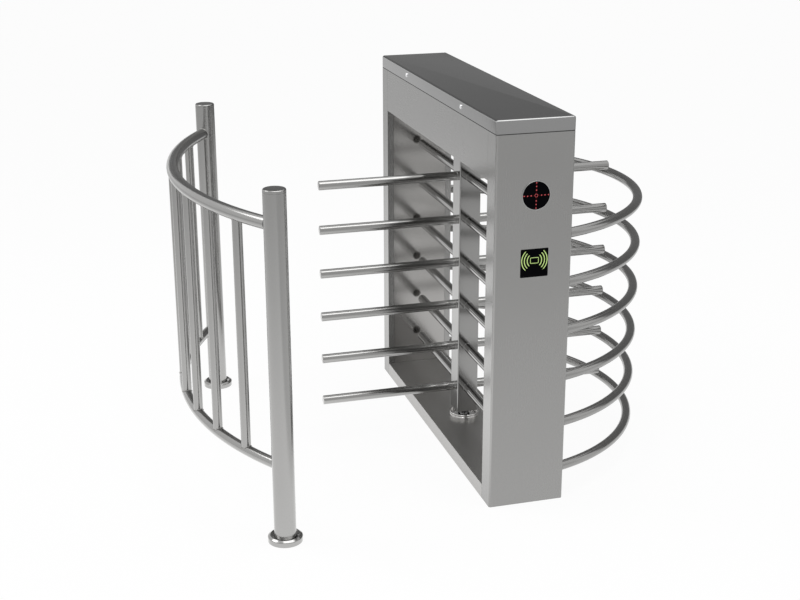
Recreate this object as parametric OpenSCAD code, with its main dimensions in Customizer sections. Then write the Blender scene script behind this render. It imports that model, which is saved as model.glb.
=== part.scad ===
// Cage turnstile: a portal cabinet with a four-wing rotor, six side hoops and a curved guard rail.
// The origin is the rotor's axis at floor level, Z up. X- is the passage side with the guard,
// X+ is the hoop side, and the end with the indicator and the card reader faces Y-.

/* [Cabinet] */
// Length of the cabinet along Y
cab_len = 1400; // [1380:10:1500]
// Width of the cabinet along X
cab_w = 280; // [270:5:320]
// Height of the cabinet, lid included
cab_h = 1400; // [1380:10:1460]
// Thickness of the folded sheet
sheet = 2; // [1.5:0.5:2.5]
// Length of each end column along Y
col_len = 80; // [78:1:95]
// Height of the sill that closes the portal below
sill_h = 54; // [50:1:60]
// Height of the portal's top edge
head_z = 1182; // [1160:1:1190]
// Radius of the cabinet's outer vertical folds
fold_r = 8; // [4:1:12]
// Width of the flange that each column returns towards the portal
return_w = 24; // [18:1:30]
// Depth of the folded tray that closes a column towards the portal
tray_depth = 20; // [10:1:24]
// Visible seam between two cabinet panels
seam = 0.8; // [0.5:0.1:1]
// Width of the rim that the panels fold inward under the lid
rim_w = 20; // [15:1:24]

/* [Frame] */
// Thickness of the base plate
base_t = 8; // [6:1:12]
// Outer size of the square frame tubes
rail = 40; // [35:1:42]
// Wall of the square frame tubes
rail_wall = 3; // [2:0.5:4]
// Distance from the cabinet's end to an upright's middle
upright_inset = 30; // [28:1:32]
// Radius of an anchor hole in the base plate
anchor_r = 7; // [5:0.5:9]
// Distance between the two anchor holes of one column
anchor_gap = 100; // [80:5:120]
// Distance from the cabinet's end to its anchor holes
anchor_inset = 40; // [35:1:45]
// Radius of the cable entry in the base plate
entry_r = 20; // [15:1:25]

/* [Lid] */
// Height of the lid's skirt
lid_h = 50; // [46:1:60]
// Gap between the lid's skirt and the cabinet
lid_gap = 1.5; // [1.2:0.1:2]
// Thickness of the rubber strip in that gap
gasket_t = 1.2; // [0.8:0.1:1.2]
// Width of the rubber strip
gasket_w = 6; // [4:1:8]
// Distance of each lock from the middle of the lid
lock_y = 336; // [300:2:380]
// Height of a lock's axis below the lid's top
lock_drop = 22; // [20:1:24]
// Radius of a lock's face
lock_r = 8; // [6:0.5:9]
// Length of a lock's cam from its axis
cam_len = 34; // [30:1:36]
// Distance of each lid hinge from the middle of the lid
hinge_y = 450; // [400:5:500]
// Length of one lid hinge
hinge_len = 80; // [60:5:100]
// Radius of a hinge knuckle
knuckle_r = 5; // [4:0.5:5]
// Radius of a hinge pin
hinge_pin_r = 2.5; // [2:0.25:2.5]
// Thickness of a hinge leaf
leaf_t = 2; // [1.5:0.25:2.5]
// Width of a hinge leaf
leaf_w = 36; // [30:1:40]

/* [Front fittings] */
// Sideways place of the indicator and the reader on the front end
front_x = 5; // [-10:1:10]
// Height of the indicator lamp
lamp_z = 1139; // [1100:1:1150]
// Radius of the indicator over its bezel
lamp_r = 51; // [40:0.5:54]
// Width of the indicator's bezel
bezel_w = 2.5; // [1.5:0.5:4]
// Depth of the lamp housing behind the sheet
lamp_depth = 38; // [25:1:45]
// Radius of one red lamp dot
dot_r = 1.9; // [1:0.1:2.4]
// Height of the card reader
reader_z = 903.5; // [860:0.5:940]
// Side of the square reader window
reader_w = 100; // [80:1:120]
// Depth of the reader module behind the sheet
reader_depth = 26; // [15:1:40]

/* [Rotor] */
// Side of the square rotor post
post_w = 84; // [80:1:90]
// Wall of the rotor post
post_wall = 4; // [3:0.5:5]
// Radius of the rotor post's corners
post_corner_r = 4; // [2:0.5:6]
// Gap between the portal floor's collar and the rotor post
post_lift = 12; // [8:1:20]
// Gap between the rotor post and the soffit
post_drop = 4; // [2:1:8]
// Distance from the rotor axis to an arm's tip
arm_reach = 580; // [560:1:590]
// Outer radius of an arm's tube
arm_r = 17.5; // [15:0.5:20]
// Wall of an arm's tube
arm_wall = 2; // [1.5:0.5:3]
// Number of arm levels
arm_levels = 6; // [4:1:6]
// Height of the lowest arms
arm_low_z = 184; // [170:1:190]
// Distance between two arm levels
arm_pitch = 172; // [165:1:176]
// Thickness of an arm's end cap
cap_t = 3; // [2:0.5:5]
// Length of an end cap's plug inside its tube
plug_len = 12; // [8:1:20]
// Radius of the spigot under the rotor
spigot_r = 18; // [15:0.5:20]
// Radius of the shaft over the rotor
shaft_r = 20; // [16:0.5:21]
// Wall of the bearing bushes
bush_wall = 6; // [4:0.5:7]
// Thickness of the welded plates in the post's ends
end_plate_t = 12; // [8:1:16]

/* [Floor collar] */
// Outer radius of the collar on the portal floor
collar_r = 57.5; // [54:0.5:64]
// Height of the collar
collar_h = 18; // [14:1:22]
// Wall of the collar
collar_wall = 3; // [2:0.5:4]

/* [Drive head] */
// Thickness of the mechanism plate
plate_t = 8; // [6:1:10]
// Length of the mechanism plate along Y
plate_len = 480; // [470:10:520]
// Radius of the index disc
disc_r = 80; // [76:1:82]
// Thickness of the index disc
disc_t = 12; // [10:1:14]
// Depth of a notch in the index disc
notch_depth = 12; // [11:0.5:14]
// Module of the gear teeth
gear_module = 3.2; // [3:0.1:3.3]
// Thickness of the gears
gear_t = 12; // [8:1:14]
// Radius of the damper's case
damper_r = 30; // [26:1:30]
// Height of the damper's case
damper_h = 18; // [14:1:19]
// Distance along X from the rotor axis to a pawl's pivot
pawl_arm = 84; // [80:1:88]
// Distance along Y from the rotor axis to a pawl's pivot
pawl_level = 76; // [74:1:78]
// Angle that a pawl swings between free and locked
pawl_swing = 10; // [9:0.5:11]
// Width of a pawl's tooth
tooth_w = 14; // [12:0.5:16]
// Depth that a pawl's tooth reaches into the disc
tooth_bite = 10; // [9:0.5:10.5]
// Radius of a pawl's pivot stud
pivot_r = 8; // [6:0.5:9]
// Radius of a solenoid's plunger
plunger_r = 6; // [5:0.5:7]
// Width of a solenoid along X
coil_w = 50; // [40:1:60]
// Length of a solenoid along Y
coil_len = 60; // [50:1:66]
// Radius of a bolt in the drive head
bolt_r = 4; // [3:0.5:5]
// Length of a bolt under its head
bolt_len = 20; // [20:1:26]

/* [Side hoops] */
// Number of hoops
hoop_count = 6; // [2:2:6]
// Distance from the cabinet to the middle of a hoop's tube, at its farthest
hoop_reach = 499; // [480:1:560]
// Outer radius of a hoop's tube
hoop_tube_r = 17.5; // [15:0.5:18]
// Wall of a hoop's tube
hoop_wall = 2; // [1.5:0.5:3]
// Height of the lowest hoop
hoop_low_z = 114; // [100:1:120]
// Distance between two hoops
hoop_pitch = 175.2; // [165:0.2:180]
// Radius of the rubber boot round a hoop's root
boot_r = 24; // [23:0.5:27]
// Thickness of a rubber boot
boot_t = 5; // [3:0.5:8]

/* [Guard rail] */
// Distance from the rotor axis to the guard's posts along X
guard_x = 885; // [860:5:950]
// Half the distance between the guard's posts along Y
guard_half = 725; // [690:5:760]
// How far the guard's rails bow out past its posts
guard_bow = 220; // [180:5:260]
// Radius of a guard post
guard_post_r = 38; // [34:1:42]
// Wall of a guard post
guard_wall = 3; // [2:0.5:4]
// Height of the guard's posts with their caps
guard_h = 1235; // [1200:5:1300]
// Radius of the guard's top rail
top_rail_r = 22; // [20:1:24]
// Height of the guard's top rail
top_rail_z = 1115; // [1080:5:1140]
// Radius of the guard's bottom rail
low_rail_r = 19; // [18:1:22]
// Height of the guard's bottom rail
low_rail_z = 275; // [240:5:300]
// Radius of a guard bar
bar_r = 17; // [15:0.5:17.5]
// Number of guard bars
bar_count = 7; // [5:2:7]
// Wall of the guard's rails and bars
bar_wall = 2; // [1.5:0.5:3]
// Height of a post's cap over its tube
post_cap_h = 10; // [8:1:14]
// Radius of the rounding on a post's cap
cap_round = 8; // [3:0.5:9]
// Radius of a guard foot plate
foot_r = 56; // [54:0.5:60]
// Thickness of a guard foot plate
foot_t = 8; // [6:1:10]
// Radius of an anchor hole in a foot plate
foot_hole_r = 5; // [4:0.5:6]
// Radius of the cover over a foot plate
cover_r = 60; // [58:0.5:64]
// Height of that cover
cover_h = 23; // [20:1:26]
// Radius of the rounding on that cover's shoulder
cover_round = 6; // [3:0.5:7]

/* [Hidden] */
// The sub-parts, in the order in which they are drawn
$fn = 96;
// Steps of a full turn on the long bends of the rails and hoops
bend_steps = 540;
// Overrun of every cut past the surface that it opens
over = 1;
// Clearance between pieces that touch on the real object
fit = 0.3;
// Radial clearance of a running shaft
run_fit = 0.05;
// Gap of a weld between a coped tube and its neighbour
weld_gap = 0.2;
// Clearance of a screw in its hole
screw_gap = 0.3;

// Levels of the cabinet
half_len = cab_len / 2;
half_w = cab_w / 2;
portal_y = half_len - col_len;
seam_z = cab_h - lid_h;
rail_z = head_z + sheet + fit;
upright_x = half_w - sheet - fit - rail / 2;
upright_y = half_len - upright_inset;
anchor_y = half_len - anchor_inset;

// Levels of the drive head, from the mechanism plate upward
plate_z = rail_z + rail;
plate_top = plate_z + plate_t;
flange_t = 8;
flange_r = 55;
barrel_r = 36;
barrel_h = 28;
flange_bolt_r = 45;
flange_top = plate_top + flange_t;
disc_lift = 14;
disc_z = flange_top + disc_lift;
hub_lift = 2;
hub_r = 32;
gear_lift = 6;
gear_z = disc_z + disc_t + gear_lift;
shaft_over = 10;
shaft_top = gear_z + gear_t + shaft_over;
soffit_hole_r = shaft_r + 2 * bush_wall;
bolt_head_r = 1.6 * bolt_r;
bolt_head_h = 1.5 * bolt_r;
plate_bolt_inset = 32;
plate_bolt_y = plate_len / 2 - plate_bolt_inset;

// Rotor
collar_top = sill_h + collar_h;
post_z = collar_top + post_lift;
post_top = head_z - post_drop;
post_bore = post_w - 2 * post_wall;
bush_z = base_t + flange_t;
low_barrel_h = sill_h - sheet - bush_z - 2 * flange_t;
thrust_t = 3.7;
arm_root = post_w / 2;
arm_end = arm_reach - cap_t;
wing_turns = [180, 0, 270, 90];
collar_hole_r = spigot_r + bush_wall;

// Gears
gear_teeth = 45;
pinion_teeth = 15;
pressure_angle = 20;
tooth_play = 0.4;
addendum_share = 0.8;
dedendum_share = 1.1;
flank_steps = 4;
gear_pitch_r = gear_module * gear_teeth / 2;
pinion_pitch_r = gear_module * pinion_teeth / 2;
damper_turn = -45;
damper_reach = gear_pitch_r + pinion_pitch_r;
damper_shaft_r = 6;

// Pawls and solenoids, drawn for the locked position
pawl_back = 32;
pawl_bar_w = 16;
eye_r = 2 * pivot_r;
boss_r = 13;
notch_play = 1;
ramp_share = 0.6;
nose_gap = 0.5;
pawl_rest_back = pawl_back / cos(pawl_swing) + pawl_arm * tan(pawl_swing);
plunger_stroke = pawl_rest_back - pawl_back;
plunger_nose_y = pawl_level + pawl_rest_back + nose_gap;
plunger_z = disc_z + disc_t / 2;
coil_y = plunger_nose_y + plunger_stroke + plunger_r;
plunger_tail_y = coil_y + coil_len + plunger_stroke + fit;
head_t = 4;
stud_over = 4;

// Position sensors
sensor_r = 6;
sensor_len = 45;
sensor_gap = 3;
sensor_turns = [125, 145];
sensor_block = [10, 20];

// Control board and power supply
board_gap = 60;
board_size = [236, 140];
board_y = plate_len / 2 + board_gap + board_size[1] / 2;
board_t = 1.6;
tray_t = 3;
standoff_h = 8;
standoff_r = 4;
standoff_inset = 14;
supply_gap = 110;
supply_size = [230, 110, 50];
supply_y = -plate_len / 2 - supply_gap - supply_size[1] / 2;
terminal_size = [150, 16, 14];

// Hoops: a circle through both roots and the farthest point
hoop_root = upright_y;
hoop_r = (hoop_reach * hoop_reach + hoop_root * hoop_root) / (2 * hoop_reach);
hoop_x = half_w + hoop_reach - hoop_r;
hoop_seat_x = upright_x + rail / 2;
hoop_gap = 2;
hoop_hole_r = hoop_tube_r + hoop_gap;

// Guard: an arc through both posts, bowed away from the cabinet
guard_r = (guard_half * guard_half + guard_bow * guard_bow) / (2 * guard_bow);
guard_cx = guard_r - guard_bow - guard_x;
guard_angle = asin(guard_half / guard_r);
bar_step = 2 * guard_angle / (bar_count + 1);
cap_plug_len = 20;
foot_bolt_circle = guard_post_r + foot_r;
foot_hole_count = 4;
cover_wall = 2;
cover_gap = 4;
cover_step = 4;
cover_round_steps = 6;
cover_deck_z = cover_h - cover_step;

// Indicator: where its middle ring and the dots of each arm lie, as shares of the lens's radius
dot_ring_share = 0.15;
dot_shares = [0.385, 0.645, 0.905];

// Lid, hinges and locks
lid_z = seam_z + lid_gap;
hinge_z = seam_z + lid_gap / 2;
hinge_gap = 1;
hinge_x = half_w + knuckle_r + hinge_gap;
pin_over = 1;
knuckle_count = 5;
knuckle_gap = 0.3;
lock_z = cab_h - lock_drop;
lock_len = 26;
lock_face_t = 4;
lock_lip = 1;
cam_t = 3;
cam_w = 12;
cam_x = -half_w + sheet + lock_len;
plug_r = lock_r / 2;
keeper_t = 3;
keeper_w = 20;
keeper_drop = 40;
keeper_play = 2;
keeper_gap = 1;

// A rectangle with rounded corners, centred
module round_rect(w, l, r) {
    square([w - 2 * r, l], center = true);
    square([w, l - 2 * r], center = true);
    for (sx = [-1, 1])
        for (sy = [-1, 1])
            translate([sx * (w / 2 - r), sy * (l / 2 - r)])
                circle(r);
}

// A block given by its lowest and highest corners
module block(low, high) {
    translate(low)
        cube(high - low);
}

// A round tube along Z, or a rod when bore_r is zero
module round_tube(r, bore_r, h) {
    difference() {
        cylinder(r = r, h = h);
        if (bore_r > 0)
            translate([0, 0, -over])
                cylinder(r = bore_r, h = h + 2 * over);
    }
}

// A square tube along Z
module square_tube(w, wall, h) {
    linear_extrude(h)
        difference() {
            square(w, center = true);
            square(w - 2 * wall, center = true);
        }
}

// A round tube bent to an arc in the XY plane, symmetric about the X axis
module bent_tube(bend_r, tube_r, wall, half_angle) {
    rotate([0, 0, -half_angle])
        rotate_extrude(angle = 2 * half_angle, $fn = bend_steps)
            translate([bend_r, 0])
                difference() {
                    circle(tube_r);
                    if (wall > 0)
                        circle(tube_r - wall);
                }
}

// The half of a column's plan that lies beyond the portal, drawn at the front end
module column_half() {
    translate([-cab_w, -portal_y - 2 * col_len])
        square([2 * cab_w, 2 * col_len]);
}

// The plan of a column between its outer skin and an inset
module column_plan(inset) {
    difference() {
        intersection() {
            translate([0, -portal_y])
                round_rect(cab_w, 2 * col_len, fold_r);
            column_half();
        }
        translate([0, -portal_y])
            square([cab_w - 2 * inset, 2 * (col_len - inset)], center = true);
    }
}

// The thin wall of a column, with its folds
module column_wall() {
    difference() {
        intersection() {
            translate([0, -portal_y])
                round_rect(cab_w, 2 * col_len, fold_r);
            column_half();
        }
        translate([0, -portal_y])
            round_rect(cab_w - 2 * sheet, 2 * (col_len - sheet), fold_r - sheet);
    }
}

// A folded end column, drawn at the front end
module column_shell() {
    difference() {
        union() {
            linear_extrude(seam_z)
                column_wall();
            translate([0, 0, seam_z - sheet])
                linear_extrude(sheet)
                    column_plan(rim_w);
            for (side = [-1, 1])
                translate([side * (half_w - return_w / 2), -portal_y - sheet / 2, 0])
                    linear_extrude(head_z)
                        square([return_w, sheet], center = true);
        }
        base_clearance();
        for (level = [0 : hoop_count - 1])
            translate([half_w - 2 * sheet, -hoop_root, hoop_low_z + level * hoop_pitch])
                rotate([0, 90, 0])
                    cylinder(r = hoop_hole_r, h = 4 * sheet);
    }
}

// Room for the base plate between the returned flanges
module base_clearance() {
    block([-half_w + sheet, -portal_y - 2 * sheet, -over],
        [half_w - sheet, -portal_y + over, base_t + fit]);
}

module base_plate() {
    edge_x = half_w - sheet - fit;
    edge_y = half_len - sheet - fit;
    color([0.42, 0.43, 0.44])
        difference() {
            linear_extrude(base_t)
                round_rect(2 * edge_x, 2 * edge_y, fold_r);
            for (sx = [-1, 1])
                for (sy = [-1, 1])
                    translate([sx * anchor_gap / 2, sy * anchor_y, -over])
                        cylinder(r = anchor_r, h = base_t + 2 * over);
            translate([0, anchor_y, -over])
                cylinder(r = entry_r, h = base_t + 2 * over);
        }
}

module frame_uprights() {
    color([0.5, 0.51, 0.52])
        for (sx = [-1, 1])
            for (sy = [-1, 1])
                translate([sx * upright_x, sy * upright_y, base_t])
                    square_tube(rail, rail_wall, rail_z - base_t);
}

module header_rails() {
    rail_len = 2 * upright_y + rail;
    color([0.5, 0.51, 0.52])
        for (side = [-1, 1])
            difference() {
                translate([side * upright_x, rail_len / 2, rail_z + rail / 2])
                    rotate([90, 0, 0])
                        square_tube(rail, rail_wall, rail_len);
                for (end = [-1, 1])
                    translate([side * upright_x, end * plate_bolt_y, plate_z - rail_wall - over])
                        cylinder(r = bolt_r + screw_gap, h = rail_wall + 2 * over);
            }
}

module front_column() {
    lens_cut_r = lamp_r - bezel_w;
    reader_cut = reader_w - 2 * sheet;
    color([0.62, 0.62, 0.61])
        difference() {
            column_shell();
            translate([front_x, -half_len - over, lamp_z])
                rotate([-90, 0, 0])
                    cylinder(r = lens_cut_r, h = sheet + 2 * over);
            translate([front_x - reader_cut / 2, -half_len - over, reader_z - reader_cut / 2])
                cube([reader_cut, sheet + 2 * over, reader_cut]);
        }
}

module rear_column() {
    color([0.62, 0.62, 0.61])
        mirror([0, 1, 0])
            column_shell();
}

module inner_panels() {
    tray_w = cab_w - 2 * return_w - 2 * seam;
    tray_z = base_t + fit;
    color([0.56, 0.56, 0.55])
        for (side = [0, 1])
            mirror([0, side, 0])
                difference() {
                    block([-tray_w / 2, -portal_y - tray_depth, tray_z], [tray_w / 2, -portal_y, head_z]);
                    block([-tray_w / 2 + sheet, -portal_y - tray_depth - over, tray_z - over],
                        [tray_w / 2 - sheet, -portal_y - sheet, head_z + over]);
                }
}

module header_channel() {
    run = 2 * (portal_y - seam);
    color([0.64, 0.64, 0.63])
        difference() {
            translate([-half_w, -run / 2, head_z])
                cube([cab_w, run, seam_z - head_z]);
            translate([-half_w + sheet, -run / 2 - over, head_z + sheet])
                cube([cab_w - 2 * sheet, run + 2 * over, seam_z - head_z - 2 * sheet]);
            translate([-half_w + rim_w, -run / 2 - over, seam_z - 2 * sheet])
                cube([cab_w - 2 * rim_w, run + 2 * over, 3 * sheet]);
            translate([0, 0, head_z - over])
                cylinder(r = soffit_hole_r, h = sheet + 2 * over);
        }
}

// A tread plate on two upright skirts
module sill_cover() {
    run = 2 * (portal_y - seam);
    color([0.55, 0.55, 0.54]) {
        translate([0, 0, sill_h - sheet])
            linear_extrude(sheet)
                difference() {
                    square([cab_w, run], center = true);
                    circle(r = collar_hole_r);
                }
        for (side = [-1, 1])
            translate([side * (half_w - sheet / 2), 0, (sill_h - sheet - fit) / 2])
                cube([sheet, run, sill_h - sheet - fit], center = true);
    }
}

module floor_collar() {
    color([0.78, 0.78, 0.78])
        translate([0, 0, sill_h])
            rotate_extrude()
                polygon([
                    [collar_hole_r, 0],
                    [collar_r, 0],
                    [collar_r, collar_h - collar_wall / 2],
                    [collar_r - collar_wall / 2, collar_h],
                    [collar_r - 1.5 * collar_wall, collar_h],
                    [collar_r - 2 * collar_wall, collar_h - collar_wall / 2],
                    [collar_r - 2 * collar_wall, collar_wall],
                    [collar_hole_r, collar_wall]
                ]);
}

module bottom_bearing() {
    bore = spigot_r + bush_wall;
    color([0.36, 0.37, 0.38])
        translate([0, 0, base_t])
            difference() {
                union() {
                    cylinder(r = flange_r, h = flange_t);
                    cylinder(r = barrel_r, h = flange_t + low_barrel_h);
                }
                translate([0, 0, flange_t])
                    cylinder(r = bore, h = low_barrel_h + over);
            }
}

module top_bearing() {
    bore = shaft_r + bush_wall;
    color([0.36, 0.37, 0.38])
        difference() {
            union() {
                translate([0, 0, plate_top])
                    cylinder(r = flange_r, h = flange_t);
                translate([0, 0, plate_top - barrel_h])
                    cylinder(r = barrel_r, h = barrel_h + flange_t);
            }
            translate([0, 0, plate_top - barrel_h - over])
                cylinder(r = bore, h = barrel_h + flange_t + 2 * over);
            for (turn = [0 : 90 : 270])
                rotate([0, 0, turn])
                    translate([flange_bolt_r, 0, plate_top - over])
                        cylinder(r = bolt_r + screw_gap, h = flange_t + 2 * over);
        }
}

// The lower bush is a cup whose floor carries the rotor, and the upper one is a plain sleeve
module rotor_bushes() {
    color([0.72, 0.52, 0.25]) {
        translate([0, 0, bush_z])
            difference() {
                cylinder(r = spigot_r + bush_wall, h = low_barrel_h);
                translate([0, 0, thrust_t])
                    cylinder(r = spigot_r + run_fit, h = low_barrel_h);
            }
        translate([0, 0, plate_top - barrel_h])
            round_tube(shaft_r + bush_wall, shaft_r + run_fit, barrel_h + flange_t);
    }
}

module mechanism_plate() {
    edge_x = upright_x + rail / 2;
    color([0.45, 0.46, 0.47])
        union() {
            difference() {
                translate([-edge_x, -plate_len / 2, plate_z])
                    cube([2 * edge_x, plate_len, plate_t]);
                translate([0, 0, plate_z - over])
                    cylinder(r = barrel_r + screw_gap, h = plate_t + 2 * over);
                for (turn = [0 : 90 : 270])
                    rotate([0, 0, turn])
                        translate([flange_bolt_r, 0, plate_z - over])
                            cylinder(r = bolt_r + screw_gap, h = plate_t + 2 * over);
                for (side = [-1, 1])
                    for (end = [-1, 1])
                        translate([side * upright_x, end * plate_bolt_y, plate_z - over])
                            cylinder(r = bolt_r + screw_gap, h = plate_t + 2 * over);
            }
            for (turn = [0, 180])
                rotate([0, 0, turn])
                    translate([pawl_arm, pawl_level, plate_top]) {
                        cylinder(r = boss_r, h = disc_z - plate_top - fit);
                        cylinder(r = pivot_r, h = disc_z - plate_top + disc_t + stud_over);
                    }
        }
}

// A hexagon-headed bolt whose head rests on z = 0
module head_bolt() {
    cylinder(r = bolt_head_r, h = bolt_head_h, $fn = 6);
    translate([0, 0, -bolt_len])
        cylinder(r = bolt_r, h = bolt_len + bolt_head_h / 2);
}

module plate_bolts() {
    color([0.7, 0.7, 0.7]) {
        for (turn = [0 : 90 : 270])
            rotate([0, 0, turn])
                translate([flange_bolt_r, 0, flange_top])
                    head_bolt();
        for (side = [-1, 1])
            for (end = [-1, 1])
                translate([side * upright_x, end * plate_bolt_y, plate_top])
                    head_bolt();
    }
}

module solenoid_coils() {
    coil_top = 2 * plunger_z - plate_top;
    color([0.2, 0.2, 0.22])
        for (turn = [0, 180])
            rotate([0, 0, turn])
                difference() {
                    block([-coil_w / 2, coil_y, plate_top], [coil_w / 2, coil_y + coil_len, coil_top]);
                    translate([0, coil_y - over, plunger_z])
                        rotate([-90, 0, 0])
                            cylinder(r = plunger_r + run_fit, h = coil_len + 2 * over);
                }
}

module damper_body() {
    color([0.15, 0.15, 0.16])
        rotate([0, 0, damper_turn])
            translate([damper_reach, 0, plate_top])
                difference() {
                    cylinder(r = damper_r, h = damper_h);
                    translate([0, 0, damper_h / 2])
                        cylinder(r = damper_shaft_r + run_fit, h = damper_h);
                }
}

// Two round sensors read the notches of the index disc, each in its own block
module position_sensors() {
    start = disc_r + sensor_gap;
    block_at = start + sensor_len / 2;
    block_top = plunger_z + 2 * sensor_r;
    for (turn = sensor_turns)
        rotate([0, 0, turn]) {
            color([0.6, 0.6, 0.58])
                difference() {
                    block([block_at - sensor_block[0] / 2, -sensor_block[1] / 2, plate_top],
                        [block_at + sensor_block[0] / 2, sensor_block[1] / 2, block_top]);
                    translate([block_at - sensor_block[0], 0, plunger_z])
                        rotate([0, 90, 0])
                            cylinder(r = sensor_r + weld_gap, h = 2 * sensor_block[0]);
                }
            color([0.85, 0.55, 0.15])
                translate([start, 0, plunger_z])
                    rotate([0, 90, 0])
                        cylinder(r = sensor_r, h = sensor_len);
        }
}

// The control board stands on four spacers over a tray that bridges the header rails
module control_board() {
    post_x = board_size[0] / 2 - standoff_inset;
    post_y = board_size[1] / 2 - standoff_inset;
    translate([0, board_y, plate_z]) {
        color([0.6, 0.6, 0.6]) {
            translate([0, 0, tray_t / 2])
                cube([board_size[0], board_size[1], tray_t], center = true);
            for (sx = [-1, 1])
                for (sy = [-1, 1])
                    translate([sx * post_x, sy * post_y, 0])
                        cylinder(r = standoff_r, h = tray_t + standoff_h);
        }
        translate([0, 0, tray_t + standoff_h + weld_gap])
            board_assembly();
    }
}

// The board itself with its terminals, relays and capacitors
module board_assembly() {
    edge = standoff_r;
    w = board_size[0] - 2 * edge;
    l = board_size[1] - 2 * edge;
    part_h = 2 * standoff_h;
    color([0.1, 0.35, 0.2])
        translate([-w / 2, -l / 2, 0])
            cube([w, l, board_t]);
    color([0.15, 0.5, 0.25])
        translate([-w / 3, -l / 2 + edge, board_t / 2])
            cube([2 * w / 3, part_h, part_h]);
    for (k = [-2 : 2])
        color([0.12, 0.12, 0.13])
            translate([k * w / 6 - part_h / 2, l / 6, board_t / 2])
                cube([part_h, 2 * part_h, part_h]);
    for (k = [-1, 1])
        color([0.3, 0.3, 0.34])
            translate([k * w / 4, -l / 12, board_t / 2])
                cylinder(r = part_h / 2, h = 2 * part_h);
}

module power_supply() {
    translate([-supply_size[0] / 2, supply_y - supply_size[1] / 2, plate_z]) {
        color([0.66, 0.66, 0.65])
            cube(supply_size);
        color([0.12, 0.12, 0.12])
            translate([(supply_size[0] - terminal_size[0]) / 2, supply_size[1] - over, terminal_size[2]])
                cube([terminal_size[0], terminal_size[1] + over, terminal_size[2]]);
    }
}

// Place of a round fitting on the front end, its axis pointing out of the cabinet
module on_front(z, depth) {
    translate([front_x, -half_len + depth, z])
        rotate([90, 0, 0])
            children();
}

module lamp_housing() {
    cup_r = lamp_r + sheet;
    color([0.12, 0.12, 0.13])
        on_front(lamp_z, sheet + fit + lamp_depth)
            difference() {
                cylinder(r = cup_r, h = lamp_depth);
                translate([0, 0, sheet])
                    cylinder(r = cup_r - 2 * sheet, h = lamp_depth);
            }
}

module lamp_bezel() {
    color([0.75, 0.75, 0.74])
        on_front(lamp_z, 0)
            round_tube(lamp_r, lamp_r - bezel_w, sheet);
}

module lamp_lens() {
    color([0.03, 0.03, 0.03])
        on_front(lamp_z, sheet)
            cylinder(r = lamp_r - bezel_w - fit, h = 1.5 * sheet);
}

// The red cross of the indicator: a ring in the middle and dots along four arms
module lamp_dots() {
    lens_r = lamp_r - bezel_w - fit;
    ring_r = lens_r * dot_ring_share;
    dot_t = sheet / 5;
    color([0.9, 0.1, 0.1])
        on_front(lamp_z, -sheet / 2) {
            round_tube(ring_r, ring_r - dot_r / 2, dot_t);
            for (turn = [0 : 90 : 270])
                for (share = dot_shares)
                    rotate([0, 0, turn])
                        translate([lens_r * share, 0, 0])
                            cylinder(r = dot_r, h = dot_t);
        }
}

module reader_housing() {
    w = reader_w - 2 * sheet - 2 * fit;
    color([0.1, 0.1, 0.1])
        translate([front_x - w / 2, -half_len, reader_z - w / 2])
            cube([w, reader_depth, w]);
}

module reader_window() {
    plate = sheet / 2;
    color([0.05, 0.07, 0.05])
        translate([front_x - reader_w / 2, -half_len - plate, reader_z - reader_w / 2])
            cube([reader_w, plate, reader_w]);
}

// One hoop at a height: a bent tube cut square where it meets the frame's uprights
module hoop(z) {
    reach = hoop_reach + cab_w;
    intersection() {
        translate([hoop_x, 0, z])
            bent_tube(hoop_r, hoop_tube_r, hoop_wall, 90);
        block([hoop_seat_x, -half_len - hoop_r, z - 2 * hoop_tube_r],
            [half_w + reach, half_len + hoop_r, z + 2 * hoop_tube_r]);
    }
}

module hoop_group(first) {
    color([0.68, 0.68, 0.67])
        for (level = [first : first + hoop_count / 3 - 1])
            hoop(hoop_low_z + level * hoop_pitch);
}

module hoops_upper() {
    hoop_group(2 * hoop_count / 3);
}

module hoops_middle() {
    hoop_group(hoop_count / 3);
}

module hoops_lower() {
    hoop_group(0);
}

// The black boots that close the cabinet round the hoops' roots
module hoop_boots() {
    color([0.05, 0.05, 0.05])
        for (level = [0 : hoop_count - 1])
            for (end = [-1, 1])
                difference() {
                    translate([half_w, end * hoop_root, hoop_low_z + level * hoop_pitch])
                        rotate([0, 90, 0])
                            cylinder(r = boot_r, h = boot_t);
                    translate([hoop_x, 0, hoop_low_z + level * hoop_pitch])
                        bent_tube(hoop_r, hoop_tube_r + fit, 0, 90);
                }
}

// Places of the two guard posts
module at_guard_posts() {
    for (end = [-1, 1])
        translate([-guard_x, end * guard_half, 0])
            children();
}

module guard_posts() {
    color([0.66, 0.66, 0.65])
        at_guard_posts()
            translate([0, 0, foot_t])
                round_tube(guard_post_r, guard_post_r - guard_wall, guard_h - post_cap_h - foot_t);
}

module guard_caps() {
    plug_r = guard_post_r - guard_wall - weld_gap;
    color([0.7, 0.7, 0.69])
        at_guard_posts()
            translate([0, 0, guard_h - post_cap_h]) {
                rotate_extrude()
                    intersection() {
                        square([guard_post_r, post_cap_h]);
                        union() {
                            square([guard_post_r, post_cap_h - cap_round]);
                            square([guard_post_r - cap_round, post_cap_h]);
                            translate([guard_post_r - cap_round, post_cap_h - cap_round])
                                circle(cap_round);
                        }
                    }
                translate([0, 0, -cap_plug_len])
                    cylinder(r = plug_r, h = cap_plug_len + over);
            }
}

// A rail of the guard at a height, coped round both posts
module guard_rail(z, r, wall) {
    difference() {
        translate([guard_cx, 0, z])
            rotate([0, 0, 180])
                bent_tube(guard_r, r, wall, guard_angle);
        at_guard_posts()
            translate([0, 0, z - 2 * r])
                cylinder(r = guard_post_r + weld_gap, h = 4 * r);
    }
}

module guard_top_rail() {
    color([0.66, 0.66, 0.65])
        guard_rail(top_rail_z, top_rail_r, bar_wall);
}

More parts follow.
